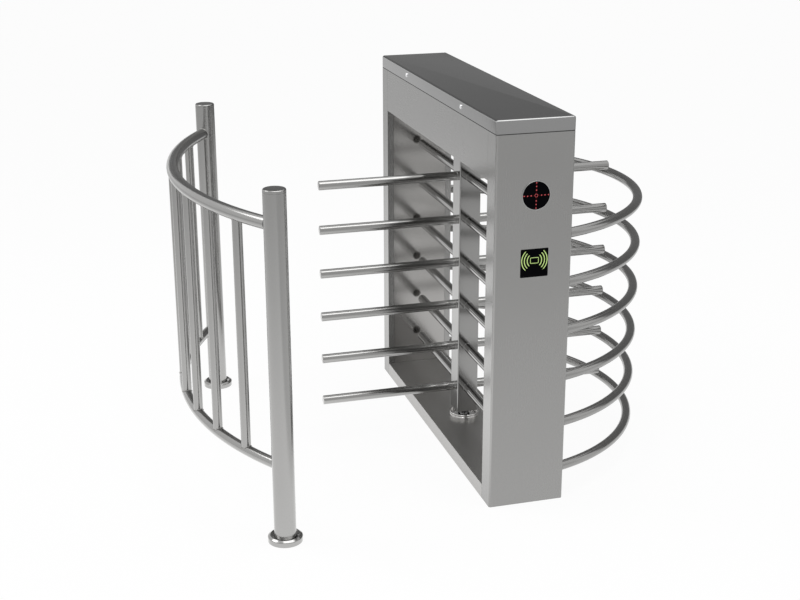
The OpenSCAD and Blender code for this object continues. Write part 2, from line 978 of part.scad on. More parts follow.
module guard_bottom_rail() {
    color([0.66, 0.66, 0.65])
        guard_rail(low_rail_z, low_rail_r, bar_wall);
}

// Upright bars, evenly spaced along the arc and coped to both rails
module guard_bars() {
    color([0.66, 0.66, 0.65])
        for (k = [0 : bar_count - 1])
            difference() {
                translate([guard_cx, 0, 0])
                    rotate([0, 0, 180 + (k + 1) * bar_step - guard_angle])
                        translate([guard_r, 0, low_rail_z])
                            round_tube(bar_r, bar_r - bar_wall, top_rail_z - low_rail_z);
                translate([guard_cx, 0, low_rail_z])
                    rotate([0, 0, 180])
                        bent_tube(guard_r, low_rail_r + weld_gap, 0, guard_angle);
                translate([guard_cx, 0, top_rail_z])
                    rotate([0, 0, 180])
                        bent_tube(guard_r, top_rail_r + weld_gap, 0, guard_angle);
            }
}

module guard_foot_plates() {
    color([0.5, 0.5, 0.5])
        at_guard_posts()
            difference() {
                cylinder(r = foot_r, h = foot_t);
                for (turn = [45 : 360 / foot_hole_count : 359])
                    rotate([0, 0, turn])
                        translate([foot_bolt_circle / 2, 0, -over])
                            cylinder(r = foot_hole_r, h = foot_t + 2 * over);
            }
}

// A turned cover round each foot: a rounded shoulder, and a deck that falls towards the post
module guard_foot_covers() {
    color([0.75, 0.75, 0.74])
        at_guard_posts()
            rotate_extrude()
                polygon([
                    [foot_r + fit, 0],
                    [cover_r, 0],
                    for (turn = [0 : 90 / cover_round_steps : 90])
                        [cover_r - cover_round * (1 - cos(turn)), cover_h - cover_round * (1 - sin(turn))],
                    [guard_post_r + cover_gap, cover_deck_z],
                    [guard_post_r + cover_gap, cover_deck_z - cover_wall],
                    [foot_r + fit, cover_deck_z - cover_wall]
                ]);
}

// Places of the two lid hinges
module at_hinges() {
    for (end = [-1, 1])
        translate([hinge_x, end * hinge_y, hinge_z])
            children();
}

// One knuckle of a hinge, by its place along the pin, with its tongue to the leaf
module knuckle(k, side) {
    step = hinge_len / knuckle_count;
    at = -hinge_len / 2 + k * step;
    length = step - knuckle_gap;
    root_x = half_w - hinge_x;
    translate([0, at + knuckle_gap / 2 + length, 0])
        rotate([90, 0, 0])
            cylinder(r = knuckle_r, h = length);
    translate([root_x, at + knuckle_gap / 2, side > 0 ? 0 : -knuckle_r - hinge_gap])
        cube([leaf_t, length, knuckle_r + hinge_gap]);
}

// A hinge leaf with its knuckles: side 1 rises on the lid, side -1 hangs on the cabinet
module leaf(side, places) {
    root_x = half_w - hinge_x;
    low = side > 0 ? knuckle_r + hinge_gap / 2 : -leaf_w;
    high = side > 0 ? leaf_w : -knuckle_r - hinge_gap / 2;
    difference() {
        union() {
            block([root_x, -hinge_len / 2, low], [root_x + leaf_t, hinge_len / 2, high]);
            for (k = places)
                knuckle(k, side);
        }
        translate([0, hinge_len, 0])
            rotate([90, 0, 0])
                cylinder(r = hinge_pin_r + run_fit, h = 2 * hinge_len);
    }
}

module hinge_fixed_leaves() {
    color([0.6, 0.6, 0.6])
        at_hinges()
            leaf(-1, [0 : 2 : knuckle_count - 1]);
}

module hinge_moving_leaves() {
    color([0.6, 0.6, 0.6])
        at_hinges()
            leaf(1, [1 : 2 : knuckle_count - 1]);
}

module hinge_pins() {
    color([0.75, 0.75, 0.75])
        at_hinges()
            translate([0, hinge_len / 2 + pin_over, 0])
                rotate([90, 0, 0])
                    cylinder(r = hinge_pin_r, h = hinge_len + 2 * pin_over);
}

// A strap inside the header carries a tab under which the turned cam catches the lid
module lock_keepers() {
    wall_x = -half_w + sheet + fit;
    strap_x = -half_w + rim_w + keeper_gap;
    tab_z = lock_z + cam_w / 2 + keeper_play;
    foot_z = seam_z - sheet - fit;
    color([0.55, 0.55, 0.56])
        for (end = [-1, 1])
            translate([0, end * lock_y + cam_w + keeper_gap, 0]) {
                block([wall_x, 0, foot_z - keeper_drop], [wall_x + keeper_t, keeper_w, foot_z]);
                block([wall_x, 0, foot_z - keeper_t], [strap_x + keeper_t, keeper_w, foot_z]);
                block([strap_x, 0, foot_z - keeper_t], [strap_x + keeper_t, keeper_w, tab_z + keeper_t]);
                block([strap_x, 0, tab_z], [cam_x + cam_t + keeper_t, keeper_w, tab_z + keeper_t]);
            }
}

// The rubber strip that the lid's skirt closes on
module lid_gasket() {
    color([0.06, 0.06, 0.06])
        translate([0, 0, seam_z])
            linear_extrude(gasket_t)
                difference() {
                    round_rect(cab_w - sheet, cab_len - sheet, fold_r);
                    round_rect(cab_w - sheet - 2 * gasket_w, cab_len - sheet - 2 * gasket_w, fold_r / 2);
                }
}

module lid() {
    skirt = cab_h - lid_z;
    color([0.45, 0.45, 0.45])
        difference() {
            translate([0, 0, lid_z])
                linear_extrude(skirt)
                    round_rect(cab_w, cab_len, fold_r);
            translate([0, 0, lid_z - over])
                linear_extrude(skirt - sheet + over)
                    round_rect(cab_w - 2 * sheet, cab_len - 2 * sheet, fold_r - sheet);
            for (end = [-1, 1])
                translate([-half_w - over, end * lock_y, lock_z])
                    rotate([0, 90, 0])
                        cylinder(r = lock_r - lock_lip, h = sheet + 2 * over);
        }
}

module lock_housings() {
    color([0.8, 0.8, 0.8])
        for (end = [-1, 1])
            translate([-half_w - lock_face_t, end * lock_y, lock_z])
                rotate([0, 90, 0])
                    difference() {
                        union() {
                            cylinder(r = lock_r, h = lock_face_t);
                            cylinder(r = lock_r - lock_lip - fit, h = lock_face_t + sheet + lock_len - fit);
                        }
                        translate([0, 0, -over])
                            cylinder(r = plug_r + run_fit, h = lock_face_t + sheet + lock_len + 2 * over);
                    }
}

// The turning plug of a lock with its cam, which hangs down while the lid is free
module lock_cam(y) {
    plug_len_x = cam_x + half_w + lock_face_t;
    translate([0, y, lock_z]) {
        translate([-half_w - lock_face_t, 0, 0])
            rotate([0, 90, 0])
                cylinder(r = plug_r, h = plug_len_x + cam_t / 2);
        translate([cam_x, 0, 0])
            rotate([0, 90, 0])
                cylinder(r = cam_w / 2, h = cam_t);
        translate([cam_x, -cam_w / 2, -cam_len])
            cube([cam_t, cam_w, cam_len]);
    }
}

module front_lock_cam() {
    color([0.5, 0.5, 0.5])
        lock_cam(-lock_y);
}

module rear_lock_cam() {
    color([0.5, 0.5, 0.5])
        lock_cam(lock_y);
}

module rotor_post() {
    color([0.72, 0.72, 0.71])
        translate([0, 0, post_z])
            linear_extrude(post_top - post_z)
                difference() {
                    round_rect(post_w, post_w, post_corner_r);
                    square(post_bore, center = true);
                }
}

// One wing: an arm on every level, turned about the rotor axis
module wing(turn) {
    color([0.74, 0.74, 0.73])
        rotate([0, 0, turn])
            for (level = [0 : arm_levels - 1])
                translate([arm_root, 0, arm_low_z + level * arm_pitch])
                    rotate([0, 90, 0])
                        round_tube(arm_r, arm_r - arm_wall, arm_end - arm_root);
}

module wing_left() {
    wing(wing_turns[0]);
}

module wing_right() {
    wing(wing_turns[1]);
}

module wing_front() {
    wing(wing_turns[2]);
}

module wing_rear() {
    wing(wing_turns[3]);
}

module arm_caps() {
    bevel = cap_t / 2;
    color([0.7, 0.7, 0.69])
        for (turn = wing_turns)
            rotate([0, 0, turn])
                for (level = [0 : arm_levels - 1])
                    translate([arm_end, 0, arm_low_z + level * arm_pitch])
                        rotate([0, 90, 0]) {
                            cylinder(r = arm_r, h = cap_t - bevel);
                            translate([0, 0, cap_t - bevel])
                                cylinder(r1 = arm_r, r2 = arm_r - bevel, h = bevel);
                            translate([0, 0, -plug_len])
                                cylinder(r = arm_r - arm_wall - weld_gap, h = plug_len + bevel / 2);
                        }
}

// A square plate that closes one end of the post
module end_plate(z) {
    side = post_bore - 2 * weld_gap;
    translate([-side / 2, -side / 2, z])
        cube([side, side, end_plate_t]);
}

module rotor_spigot() {
    foot_z = bush_z + thrust_t + fit;
    color([0.6, 0.6, 0.6]) {
        end_plate(post_z);
        translate([0, 0, foot_z])
            cylinder(r = spigot_r, h = post_z - foot_z + end_plate_t / 2);
    }
}

module rotor_shaft() {
    color([0.6, 0.6, 0.6]) {
        end_plate(post_top - end_plate_t);
        translate([0, 0, post_top - end_plate_t / 2])
            cylinder(r = shaft_r, h = shaft_top - post_top + end_plate_t / 2);
    }
}

module index_disc() {
    notch_w = tooth_w + 2 * notch_play;
    color([0.58, 0.58, 0.6])
        difference() {
            union() {
                translate([0, 0, disc_z])
                    cylinder(r = disc_r, h = disc_t);
                translate([0, 0, flange_top + hub_lift])
                    cylinder(r = hub_r, h = disc_z - flange_top - hub_lift + disc_t);
            }
            translate([0, 0, flange_top])
                cylinder(r = shaft_r + run_fit, h = disc_z - flange_top + disc_t + over);
            for (turn = [0 : 90 : 270])
                rotate([0, 0, turn])
                    block([disc_r - notch_depth, -notch_w / 2, disc_z - over],
                        [disc_r + over, notch_w / 2, disc_z + disc_t + over]);
        }
}

// Involute of an angle, in degrees
function involute(a) = tan(a) * 180 / PI - a;

// Half the angle of a tooth at a radius, for a wheel of so many teeth
function half_tooth(r, base_r, teeth, pitch_r) =
    90 / teeth - tooth_play / 2 / pitch_r * 180 / PI + involute(pressure_angle) - involute(acos(base_r / r));

// Radii down one flank, from the tip to the base circle or the root
function flank_radii(tip_r, low_r) =
    [for (k = [0 : flank_steps]) tip_r + (low_r - tip_r) * k / flank_steps];

// Outline of a gear with involute flanks, with a tooth's middle on the X axis
module gear_outline(teeth) {
    pitch_r = gear_module * teeth / 2;
    base_r = pitch_r * cos(pressure_angle);
    tip_r = pitch_r + addendum_share * gear_module;
    root_r = pitch_r - dedendum_share * gear_module;
    radii = flank_radii(tip_r, max(base_r, root_r));
    flank = [for (r = radii) [r, half_tooth(r, base_r, teeth, pitch_r)]];
    low = flank[flank_steps];
    side = root_r < base_r ? concat(flank, [[root_r, low[1]]]) : flank;
    count = len(side);
    polygon([for (t = [0 : teeth - 1])
        for (k = [0 : 2 * count - 1])
            let (p = k < count ? side[count - 1 - k] : side[k - count])
            let (a = t * 360 / teeth + (k < count ? -p[1] : p[1]))
            [p[0] * cos(a), p[0] * sin(a)]]);
}

module drive_gear() {
    color([0.55, 0.55, 0.5])
        difference() {
            union() {
                translate([0, 0, gear_z])
                    rotate([0, 0, damper_turn])
                        linear_extrude(gear_t)
                            gear_outline(gear_teeth);
                translate([0, 0, gear_z - gear_lift])
                    cylinder(r = hub_r, h = gear_lift + gear_t / 2);
            }
            translate([0, 0, gear_z - gear_lift - over])
                cylinder(r = shaft_r + run_fit, h = gear_lift + gear_t + 2 * over);
        }
}

// The pinion sits on the damper's shaft, with a gap between its teeth facing the gear
module damper_pinion() {
    shaft_z = plate_top + damper_h / 2 + fit;
    pinion_turn = damper_turn + 180 + 180 / pinion_teeth;
    color([0.7, 0.6, 0.3])
        rotate([0, 0, damper_turn])
            translate([damper_reach, 0, 0])
                rotate([0, 0, pinion_turn - damper_turn]) {
                    translate([0, 0, gear_z])
                        linear_extrude(gear_t)
                            gear_outline(pinion_teeth);
                    translate([0, 0, shaft_z])
                        cylinder(r = damper_shaft_r, h = gear_z + gear_t + stud_over - shaft_z);
                }
}

// Outline of a pawl in its locked place, about the rotor axis, with the ramp on one side of its tooth
module pawl_outline(ramp) {
    tip = disc_r - tooth_bite;
    back = pawl_level + pawl_back;
    bend = back - pawl_bar_w;
    half = tooth_w / 2;
    rise = tooth_bite * ramp_share;
    polygon([
        [-half, back],
        [-half, ramp < 0 ? tip + rise : tip],
        [ramp < 0 ? -half + rise : -half, tip],
        [ramp > 0 ? half - rise : half, tip],
        [half, ramp > 0 ? tip + rise : tip],
        [half, bend],
        [pawl_arm / 2, bend],
        [pawl_arm - eye_r / 2, pawl_level],
        [pawl_arm, pawl_level],
        [pawl_arm, pawl_level + eye_r],
        [pawl_arm / 2, back]
    ]);
}

// A pawl at its pivot, swung back out of the disc, as it stands while the rotor is free
module pawl(ramp) {
    color([0.62, 0.62, 0.64])
        translate([pawl_arm, pawl_level, disc_z])
            rotate([0, 0, -pawl_swing])
                difference() {
                    union() {
                        linear_extrude(disc_t)
                            translate([-pawl_arm, -pawl_level])
                                pawl_outline(ramp);
                        cylinder(r = eye_r, h = disc_t);
                    }
                    translate([0, 0, -over])
                        cylinder(r = pivot_r + run_fit, h = disc_t + 2 * over);
                }
}

module entry_pawl() {
    pawl(-1);
}

module exit_pawl() {
    rotate([0, 0, 180])
        pawl(1);
}

// A solenoid's plunger with its round nose behind the pawl, and a head on its tail
module plunger() {
    color([0.75, 0.75, 0.76])
        translate([0, plunger_nose_y, plunger_z])
            rotate([-90, 0, 0]) {
                translate([0, 0, plunger_r])
                    sphere(r = plunger_r);
                translate([0, 0, plunger_r])
                    cylinder(r = plunger_r, h = plunger_tail_y - plunger_nose_y - plunger_r);
                translate([0, 0, plunger_tail_y - plunger_nose_y])
                    cylinder(r = 1.5 * plunger_r, h = head_t);
            }
}

module entry_plunger() {
    plunger();
}

module exit_plunger() {
    rotate([0, 0, 180])
        plunger();
}

base_plate();
frame_uprights();
header_rails();
front_column();
rear_column();
inner_panels();
header_channel();
sill_cover();
floor_collar();
bottom_bearing();
top_bearing();
rotor_bushes();
mechanism_plate();
plate_bolts();
solenoid_coils();
damper_body();
position_sensors();
control_board();
power_supply();
lamp_housing();
lamp_bezel();
lamp_lens();
lamp_dots();
reader_housing();
reader_window();
hoops_upper();
hoops_middle();
hoops_lower();
hoop_boots();
guard_posts();
guard_caps();
guard_top_rail();
guard_bottom_rail();
guard_bars();
guard_foot_plates();
guard_foot_covers();
hinge_fixed_leaves();
lock_keepers();
lid_gasket();
rotor_post();
wing_left();
wing_right();
wing_front();
wing_rear();
arm_caps();
rotor_spigot();
rotor_shaft();
index_disc();
drive_gear();
damper_pinion();
entry_pawl();
exit_pawl();
entry_plunger();
exit_plunger();
lid();
hinge_moving_leaves();
hinge_pins();
lock_housings();
front_lock_cam();
rear_lock_cam();
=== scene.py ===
# %% [markdown]
# # A cage turnstile in brushed and polished stainless steel
# The real one is a portal cabinet of folded sheet, a rotor with twenty-four polished arms, six bent
# hoops beside it and a curved guard rail that stands alone. The construction comes from the packed
# model. This script gives every surface its finish, and makes anew what a plain solid shows too
# plainly: folded edges, turned rims, weld beads, the indicator's glass and the reader's face.

# %% Load the frame
import math

import bpy
import numpy as np
from mathutils import Matrix, Vector


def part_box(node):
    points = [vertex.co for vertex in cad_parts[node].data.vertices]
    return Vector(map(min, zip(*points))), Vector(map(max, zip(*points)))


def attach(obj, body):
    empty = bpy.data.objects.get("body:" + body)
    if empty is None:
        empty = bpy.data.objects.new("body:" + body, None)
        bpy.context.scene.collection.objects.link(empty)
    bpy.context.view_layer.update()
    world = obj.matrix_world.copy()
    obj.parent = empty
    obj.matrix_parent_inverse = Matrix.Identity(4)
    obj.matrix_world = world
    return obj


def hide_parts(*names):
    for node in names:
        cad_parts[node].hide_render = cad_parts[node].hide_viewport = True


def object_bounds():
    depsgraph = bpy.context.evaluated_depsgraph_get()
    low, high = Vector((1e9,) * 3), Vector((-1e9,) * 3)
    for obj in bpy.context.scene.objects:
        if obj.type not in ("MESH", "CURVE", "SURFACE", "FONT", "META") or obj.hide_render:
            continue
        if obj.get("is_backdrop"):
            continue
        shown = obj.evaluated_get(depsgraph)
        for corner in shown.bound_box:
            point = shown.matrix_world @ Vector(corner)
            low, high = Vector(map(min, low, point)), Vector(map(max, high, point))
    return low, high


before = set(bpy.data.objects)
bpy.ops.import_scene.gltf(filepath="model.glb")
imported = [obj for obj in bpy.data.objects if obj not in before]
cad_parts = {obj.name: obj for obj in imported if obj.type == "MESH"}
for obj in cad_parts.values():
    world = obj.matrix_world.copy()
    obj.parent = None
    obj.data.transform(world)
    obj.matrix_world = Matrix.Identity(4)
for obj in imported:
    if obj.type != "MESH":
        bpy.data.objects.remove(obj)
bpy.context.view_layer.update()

# %% [markdown]
# The camera comes first, because it decides how much detail each piece needs. It could be placed by
# eye, but a straight-edged cabinet shows a wrong angle at once, so its place, turn and lens follow
# from the cabinet's corners as the picture shows them.

# %% Camera
CAMERA_PLACE = (-1.67975, -4.90410, 2.32013)
CAMERA_YAW = 0.280445
CAMERA_PITCH = -0.331008
CAMERA_ROLL = -0.0026302
SENSOR = 36.0
LENS = 62.684


def put(name, data):
    """An object with the given data, linked into the scene."""
    thing = bpy.data.objects.new(name, data)
    bpy.context.scene.collection.objects.link(thing)
    return thing


def look_matrix(place, yaw, pitch, roll):
    """Camera matrix: forward is yaw from +Y towards +X and pitch above the floor, and roll turns
    right and up about forward."""
    forward = np.array([
        math.sin(yaw) * math.cos(pitch),
        math.cos(yaw) * math.cos(pitch),
        math.sin(pitch),
    ])
    level = np.array([math.cos(yaw), -math.sin(yaw), 0.0])
    upright = np.cross(level, forward)
    right = level * math.cos(roll) + upright * math.sin(roll)
    up = upright * math.cos(roll) - level * math.sin(roll)
    matrix = np.eye(4)
    matrix[:3, 0], matrix[:3, 1], matrix[:3, 2], matrix[:3, 3] = right, up, -forward, place
    return Matrix(matrix.tolist())


lens = bpy.data.cameras.new("photo_lens")
lens.sensor_width = SENSOR
lens.lens = LENS
camera = put("photo_camera", lens)
camera.matrix_world = look_matrix(CAMERA_PLACE, CAMERA_YAW, CAMERA_PITCH, CAMERA_ROLL)
bpy.context.scene.camera = camera
bpy.context.scene.view_settings.view_transform = "Standard"
print("camera at", CAMERA_PLACE, "lens", LENS)

# %% [markdown]
# New pieces are grids of points: one direction runs along the piece and the other round it. Blender
# could spin or sweep a curve to the same end, but a grid worked out as an array says where each point
# lies, closes at its seam, and gives a map for the grain at the same time.

# %% Grids and meshes
def full_turn(count):
    """Angles at equal steps all the way round."""
    return np.linspace(0, 2 * math.pi, count, endpoint=False)


def unit(rows):
    """Each row of vectors divided by its length."""
    return rows / np.linalg.norm(rows, axis=1, keepdims=True)


def skin(points, ring=False):
    """Faces over a grid of points (rows, columns, 3). Columns always close on themselves. Rows close
    too if ring is set; otherwise the ends are shut flat. Each face lists its corners as row and column,
    so that the map can run on past the seam."""
    rows, cols = points.shape[:2]
    last = rows if ring else rows - 1
    i, j = (a.ravel() for a in np.meshgrid(np.arange(last), np.arange(cols), indexing="ij"))
    corner_row = np.stack([i, i, i + 1, i + 1], 1)
    corner_col = np.stack([j, j + 1, j + 1, j], 1)
    quads = (corner_row % rows) * cols + corner_col % cols
    lids = [] if ring else [np.arange(cols)[::-1], np.arange(cols) + (rows - 1) * cols]
    return quads, corner_row, corner_col, lids


def signed_volume(points, quads):
    """Volume inside a skin, as the sum of the tetrahedra from the origin to each face; it is negative
    when the faces point inwards."""
    a, b, c, d = (points[quads[:, k]] for k in range(4))
    halves = np.einsum("ij,ij->i", a, np.cross(b, c)) + np.einsum("ij,ij->i", a, np.cross(c, d))
    return halves.sum() / 6


def solid(points, ring=False):
    """One closed piece of a mesh from a grid: vertices, faces turned outwards, and a map in metres,
    its first axis along the rows and its second round the columns."""
    rows, cols = points.shape[:2]
    quads, corner_row, corner_col, lids = skin(points, ring)
    flat = points.reshape(-1, 3)
    middle = flat.mean(0)
    if signed_volume(flat - middle, quads) < 0:
        quads, corner_row, corner_col = quads[:, ::-1], corner_row[:, ::-1], corner_col[:, ::-1]
        lids = [lid[::-1] for lid in lids]
    spine = points.mean(1)
    steps = np.linalg.norm(np.diff(np.vstack([spine, spine[:1]]), axis=0), axis=1)
    girth_steps = np.linalg.norm(np.diff(np.vstack([points[0], points[0][:1]]), axis=0), axis=1)
    if steps.sum() < 1e-4:
        steps = np.linalg.norm(np.diff(np.vstack([points[:, 0], points[:1, 0]]), axis=0), axis=1)
    along = np.concatenate([[0], np.cumsum(steps)])
    round_it = np.concatenate([[0], np.cumsum(girth_steps)])
    uv = np.stack([along[corner_row], round_it[corner_col]], 2).reshape(-1, 2)
    for lid in lids:
        uv = np.vstack([uv, flat[lid][:, :2]])
    return flat, [tuple(q) for q in quads.tolist()] + [tuple(lid.tolist()) for lid in lids], uv


# %% [markdown]
# A piece is one object made of closed parts. It rides on a body, so that it moves with it, and hides
# the imported nodes it stands for. Edges sharper than about thirty degrees stay crisp, and the rest is
# smoothed, which is how turned and drawn metal looks.

# %% Pieces
SMOOTH_ANGLE = math.radians(32)


def build(name, parts, body, material, replaces=()):
    """A piece from closed parts, each given as vertices, faces and map, riding on a CAD body."""
    starts = np.cumsum([0] + [len(p[0]) for p in parts])
    points = np.vstack([p[0] for p in parts])
    faces = [tuple(int(k + s) for k in f) for p, s in zip(parts, starts) for f in p[1]]
    mesh = bpy.data.meshes.new(name)
    mesh.from_pydata(points.tolist(), [], faces)
    layer = mesh.uv_layers.new(name="along_and_round")
    layer.data.foreach_set("uv", np.vstack([p[2] for p in parts]).astype(np.float32).ravel())
    mesh.polygons.foreach_set("use_smooth", np.ones(len(faces), bool))
    mesh.set_sharp_from_angle(angle=SMOOTH_ANGLE)
    mesh.validate()
    mesh.materials.append(material)
    piece = put(name, mesh)
    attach(piece, body)
    if replaces:
        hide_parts(*replaces)
    print(name, len(points), "points", len(faces), "faces")


# %% [markdown]
# Turned pieces, such as caps, collars and rims, are a profile carried round an axis. The profile's
# corners are rounded first, because on the real pieces every turned edge has a small radius, and it
# is this radius that catches the light.

# %% Turned pieces
ARC_SHARE = 0.98


def fillet(corners, radius, steps=5, closed=True):
    """Profile with each corner replaced by an arc that touches both sides. The arc starts and ends at
    radius / tan(half the corner's angle) from the corner, and takes at most a share of half a side."""
    corners = np.array(corners, float)
    radii = np.broadcast_to(radius, len(corners))
    out = []
    for k, (p, r) in enumerate(zip(corners, radii)):
        if r <= 0 or (not closed and k in (0, len(corners) - 1)):
            out.append(p)
            continue
        a, b = corners[k - 1] - p, corners[(k + 1) % len(corners)] - p
        room = min(np.linalg.norm(a), np.linalg.norm(b)) / 2
        a, b = a / np.linalg.norm(a), b / np.linalg.norm(b)
        half = math.acos(np.clip(a @ b, -1, 1)) / 2
        r = min(r, ARC_SHARE * room * math.tan(half))
        reach = r / math.tan(half)
        centre = p + (a + b) / np.linalg.norm(a + b) * r / math.sin(half)
        start, end = p + a * reach - centre, p + b * reach - centre
        turn = math.pi - 2 * half
        t = np.linspace(0, 1, steps)[:, None]
        out.extend(centre + (np.sin((1 - t) * turn) * start + np.sin(t * turn) * end) / math.sin(turn))
    return np.array(out)


def turned(profile, place, axis, sides):
    """Piece turned on a lathe: each profile point (radius, height) goes round the axis as a circle. A
    point on the axis becomes a pole, drawn as a very small circle that is then shut flat."""
    profile = np.array(profile, float)
    angle = full_turn(sides)
    radius, height = profile[:, :1], profile[:, 1:]
    x, y = radius * np.cos(angle), radius * np.sin(angle)
    z = np.broadcast_to(height, x.shape)
    local = {"z": (x, y, z), "x": (z, x, y), "-y": (x, -z, y)}[axis]
    return np.stack(local, 2) + np.array(place)


def ring_of(profile, place, axis, sides):
    """A turned piece whose profile is a closed outline beside the axis, such as a collar."""
    return solid(turned(profile, place, axis, sides), ring=True)


def plug_of(profile, place, axis, sides):
    """A turned piece whose profile starts and ends near the axis, such as a cap."""
    return solid(turned(profile, place, axis, sides))


# %% [markdown]
# Tubes are circles carried along a line. A Blender curve with a bevel would do it, but its mesh has
# no closed ends that suit a weld, and no map in metres for the polishing lines.

# %% Tubes
TUBE_SIDES = 48


def circles(path, radius, first, second, sides):
    """Grid of circles round the points of a line, each in the plane of its two directions."""
    turn = full_turn(sides)[None, :, None]
    circle = np.cos(turn) * first[:, None] + np.sin(turn) * second[:, None]
    return path[:, None] + np.broadcast_to(radius, len(path))[:, None, None] * circle


def tube(path, radius, sides=TUBE_SIDES, up=(0, 0, 1)):
    """Circle of a radius carried along a line of points. At each point the circle lies in the plane of
    up and of the side direction, which is the line's direction crossed with up."""
    path = np.array(path, float)
    direction = unit(np.gradient(path, axis=0))
    side = unit(np.cross(direction, np.array(up, float)))
    return solid(circles(path, radius, side, np.cross(side, direction), sides))


# %% [markdown]
# A weld by hand is a row of small puddles, so a bead is a thin tube along the joint's line whose
# radius swells and shrinks at a steady step. A smooth ring would look like a rubber seal.

# %% Weld beads
BEAD_R = 0.0021
BEAD_RIPPLE = 0.13
BEAD_STEP = 0.0034
BEAD_SIDES = 10


def bead(path, centre, radius=BEAD_R):
    """Weld bead along a closed line: a thin tube whose radius swells a little at every step, as the
    puddles of a hand weld do. Its circles stand across the line, turned towards the joint's middle."""
    steps = np.linalg.norm(np.roll(path, -1, 0) - path, axis=1)
    place = np.concatenate([[0], np.cumsum(steps)[:-1]])
    turns = round(steps.sum() / BEAD_STEP) * 2 * math.pi / steps.sum()
    swell = radius * (1 + BEAD_RIPPLE * np.sin(place * turns))
    direction = unit(np.roll(path, -1, 0) - np.roll(path, 1, 0))
    outward = path - np.array(centre)
    outward = unit(outward - (outward * direction).sum(1, keepdims=True) * direction)
    return solid(circles(path, swell, outward, np.cross(direction, outward), BEAD_SIDES), ring=True)


# %% [markdown]
# ## Finishes
# Nearly everything is stainless steel, and what tells one piece from the next is how it was ground:
# sheets have a satin grain along their length, tubes are polished along their line, and the arms are
# polished to a shine. One node group makes the grain, with its direction set by the mapping that
# feeds it, so all the steels agree and each differs only in its values.

# %% Grain group
def sockets(group, ins, outs):
    """Adds named sockets to a node group: ins and outs map names to socket kinds."""
    for name, (kind, value) in ins.items():
        socket = group.interface.new_socket(name, in_out="INPUT", socket_type=kind)
        if value is not None:
            socket.default_value = value
    for name, kind in outs.items():
        group.interface.new_socket(name, in_out="OUTPUT", socket_type=kind)


def feed(tree, node, values=None, links=None):
    """Sets input values of a node and links its inputs to other nodes' outputs."""
    for key, value in (values or {}).items():
        node.inputs[key].default_value = value
    for key, source in (links or {}).items():
        tree.links.new(source, node.inputs[key])
    return node


def wire(tree, kind, values=None, links=None, **settings):
    """Adds one node to a tree with its settings, and feeds its inputs."""
    node = tree.nodes.new(kind)
    for key, value in settings.items():
        setattr(node, key, value)
    return feed(tree, node, values, links)


def grain_group():
    """Group for ground steel. Lines are a noise on the stretched vector, clouds a soft noise on the
    plain one. Colour is the tone times one plus both, each times its share. Roughness is its value
    plus both, each times its share. Height is the lines alone."""
    group = bpy.data.node_groups.new("ground_steel", "ShaderNodeTree")
    sockets(
        group,
        {
            "Grain vector": ("NodeSocketVector", None),
            "Place": ("NodeSocketVector", None),
            "Tone": ("NodeSocketColor", (0.3, 0.3, 0.3, 1)),
            "Line share": ("NodeSocketFloat", 0.05),
            "Cloud share": ("NodeSocketFloat", 0.05),
            "Cloud scale": ("NodeSocketFloat", 4.0),
            "Roughness": ("NodeSocketFloat", 0.3),
            "Roughness spread": ("NodeSocketFloat", 0.08),
        },
        {"Colour": "NodeSocketColor", "Roughness": "NodeSocketFloat", "Height": "NodeSocketFloat"},
    )
    source = wire(group, "NodeGroupInput").outputs
    lines = wire(group, "ShaderNodeTexNoise", {"Scale": 1.0, "Detail": 3.0, "Roughness": 0.65},
                 {"Vector": source["Grain vector"]}).outputs["Fac"]
    clouds = wire(group, "ShaderNodeTexNoise", {"Detail": 2.0, "Roughness": 0.5},
                  {"Vector": source["Place"], "Scale": source["Cloud scale"]}).outputs["Fac"]

    def math_node(operation, values=None, links=None, **settings):
        """The result of one sum in the group."""
        return wire(group, "ShaderNodeMath", values, links, operation=operation, **settings).outputs[0]

    line = math_node("SUBTRACT", {1: 0.5}, {0: lines})
    cloud = math_node("SUBTRACT", {1: 0.5}, {0: clouds})
    line_part = math_node("MULTIPLY", links={0: line, 1: source["Line share"]})
    both = math_node("MULTIPLY_ADD", links={0: cloud, 1: source["Cloud share"], 2: line_part})
    factor = math_node("ADD", {1: 1.0}, {0: both})
    colour = wire(group, "ShaderNodeVectorMath", links={0: source["Tone"], "Scale": factor},
                  operation="SCALE")
    mix = math_node("ADD", links={0: line, 1: cloud})
    rough = math_node("MULTIPLY_ADD", use_clamp=True,
                      links={0: mix, 1: source["Roughness spread"], 2: source["Roughness"]})
    feed(group, wire(group, "NodeGroupOutput"),
         links={"Colour": colour.outputs[0], "Roughness": rough, "Height": lines})
    return group


GROUND_STEEL = grain_group()
print("grain group with", len(GROUND_STEEL.nodes), "nodes")

# %% [markdown]
# A steel is the group with values of its own. The mapping before it says which way the grain runs, and
# its lines also raise the surface by a hair, since grinding cuts into the metal. A picture of brushed
# metal would be quicker, but it repeats, and its seam shows on a round tube.

# %% Steel material
ROUGH_SPREAD = 0.08
LINE_DEPTH = 0.00006


def empty_material(name):
    """A material with its Principled shader, ready for its inputs."""
    material = bpy.data.materials.new(name)
    material.use_nodes = True
    return material, material.node_tree, material.node_tree.nodes["Principled BSDF"]


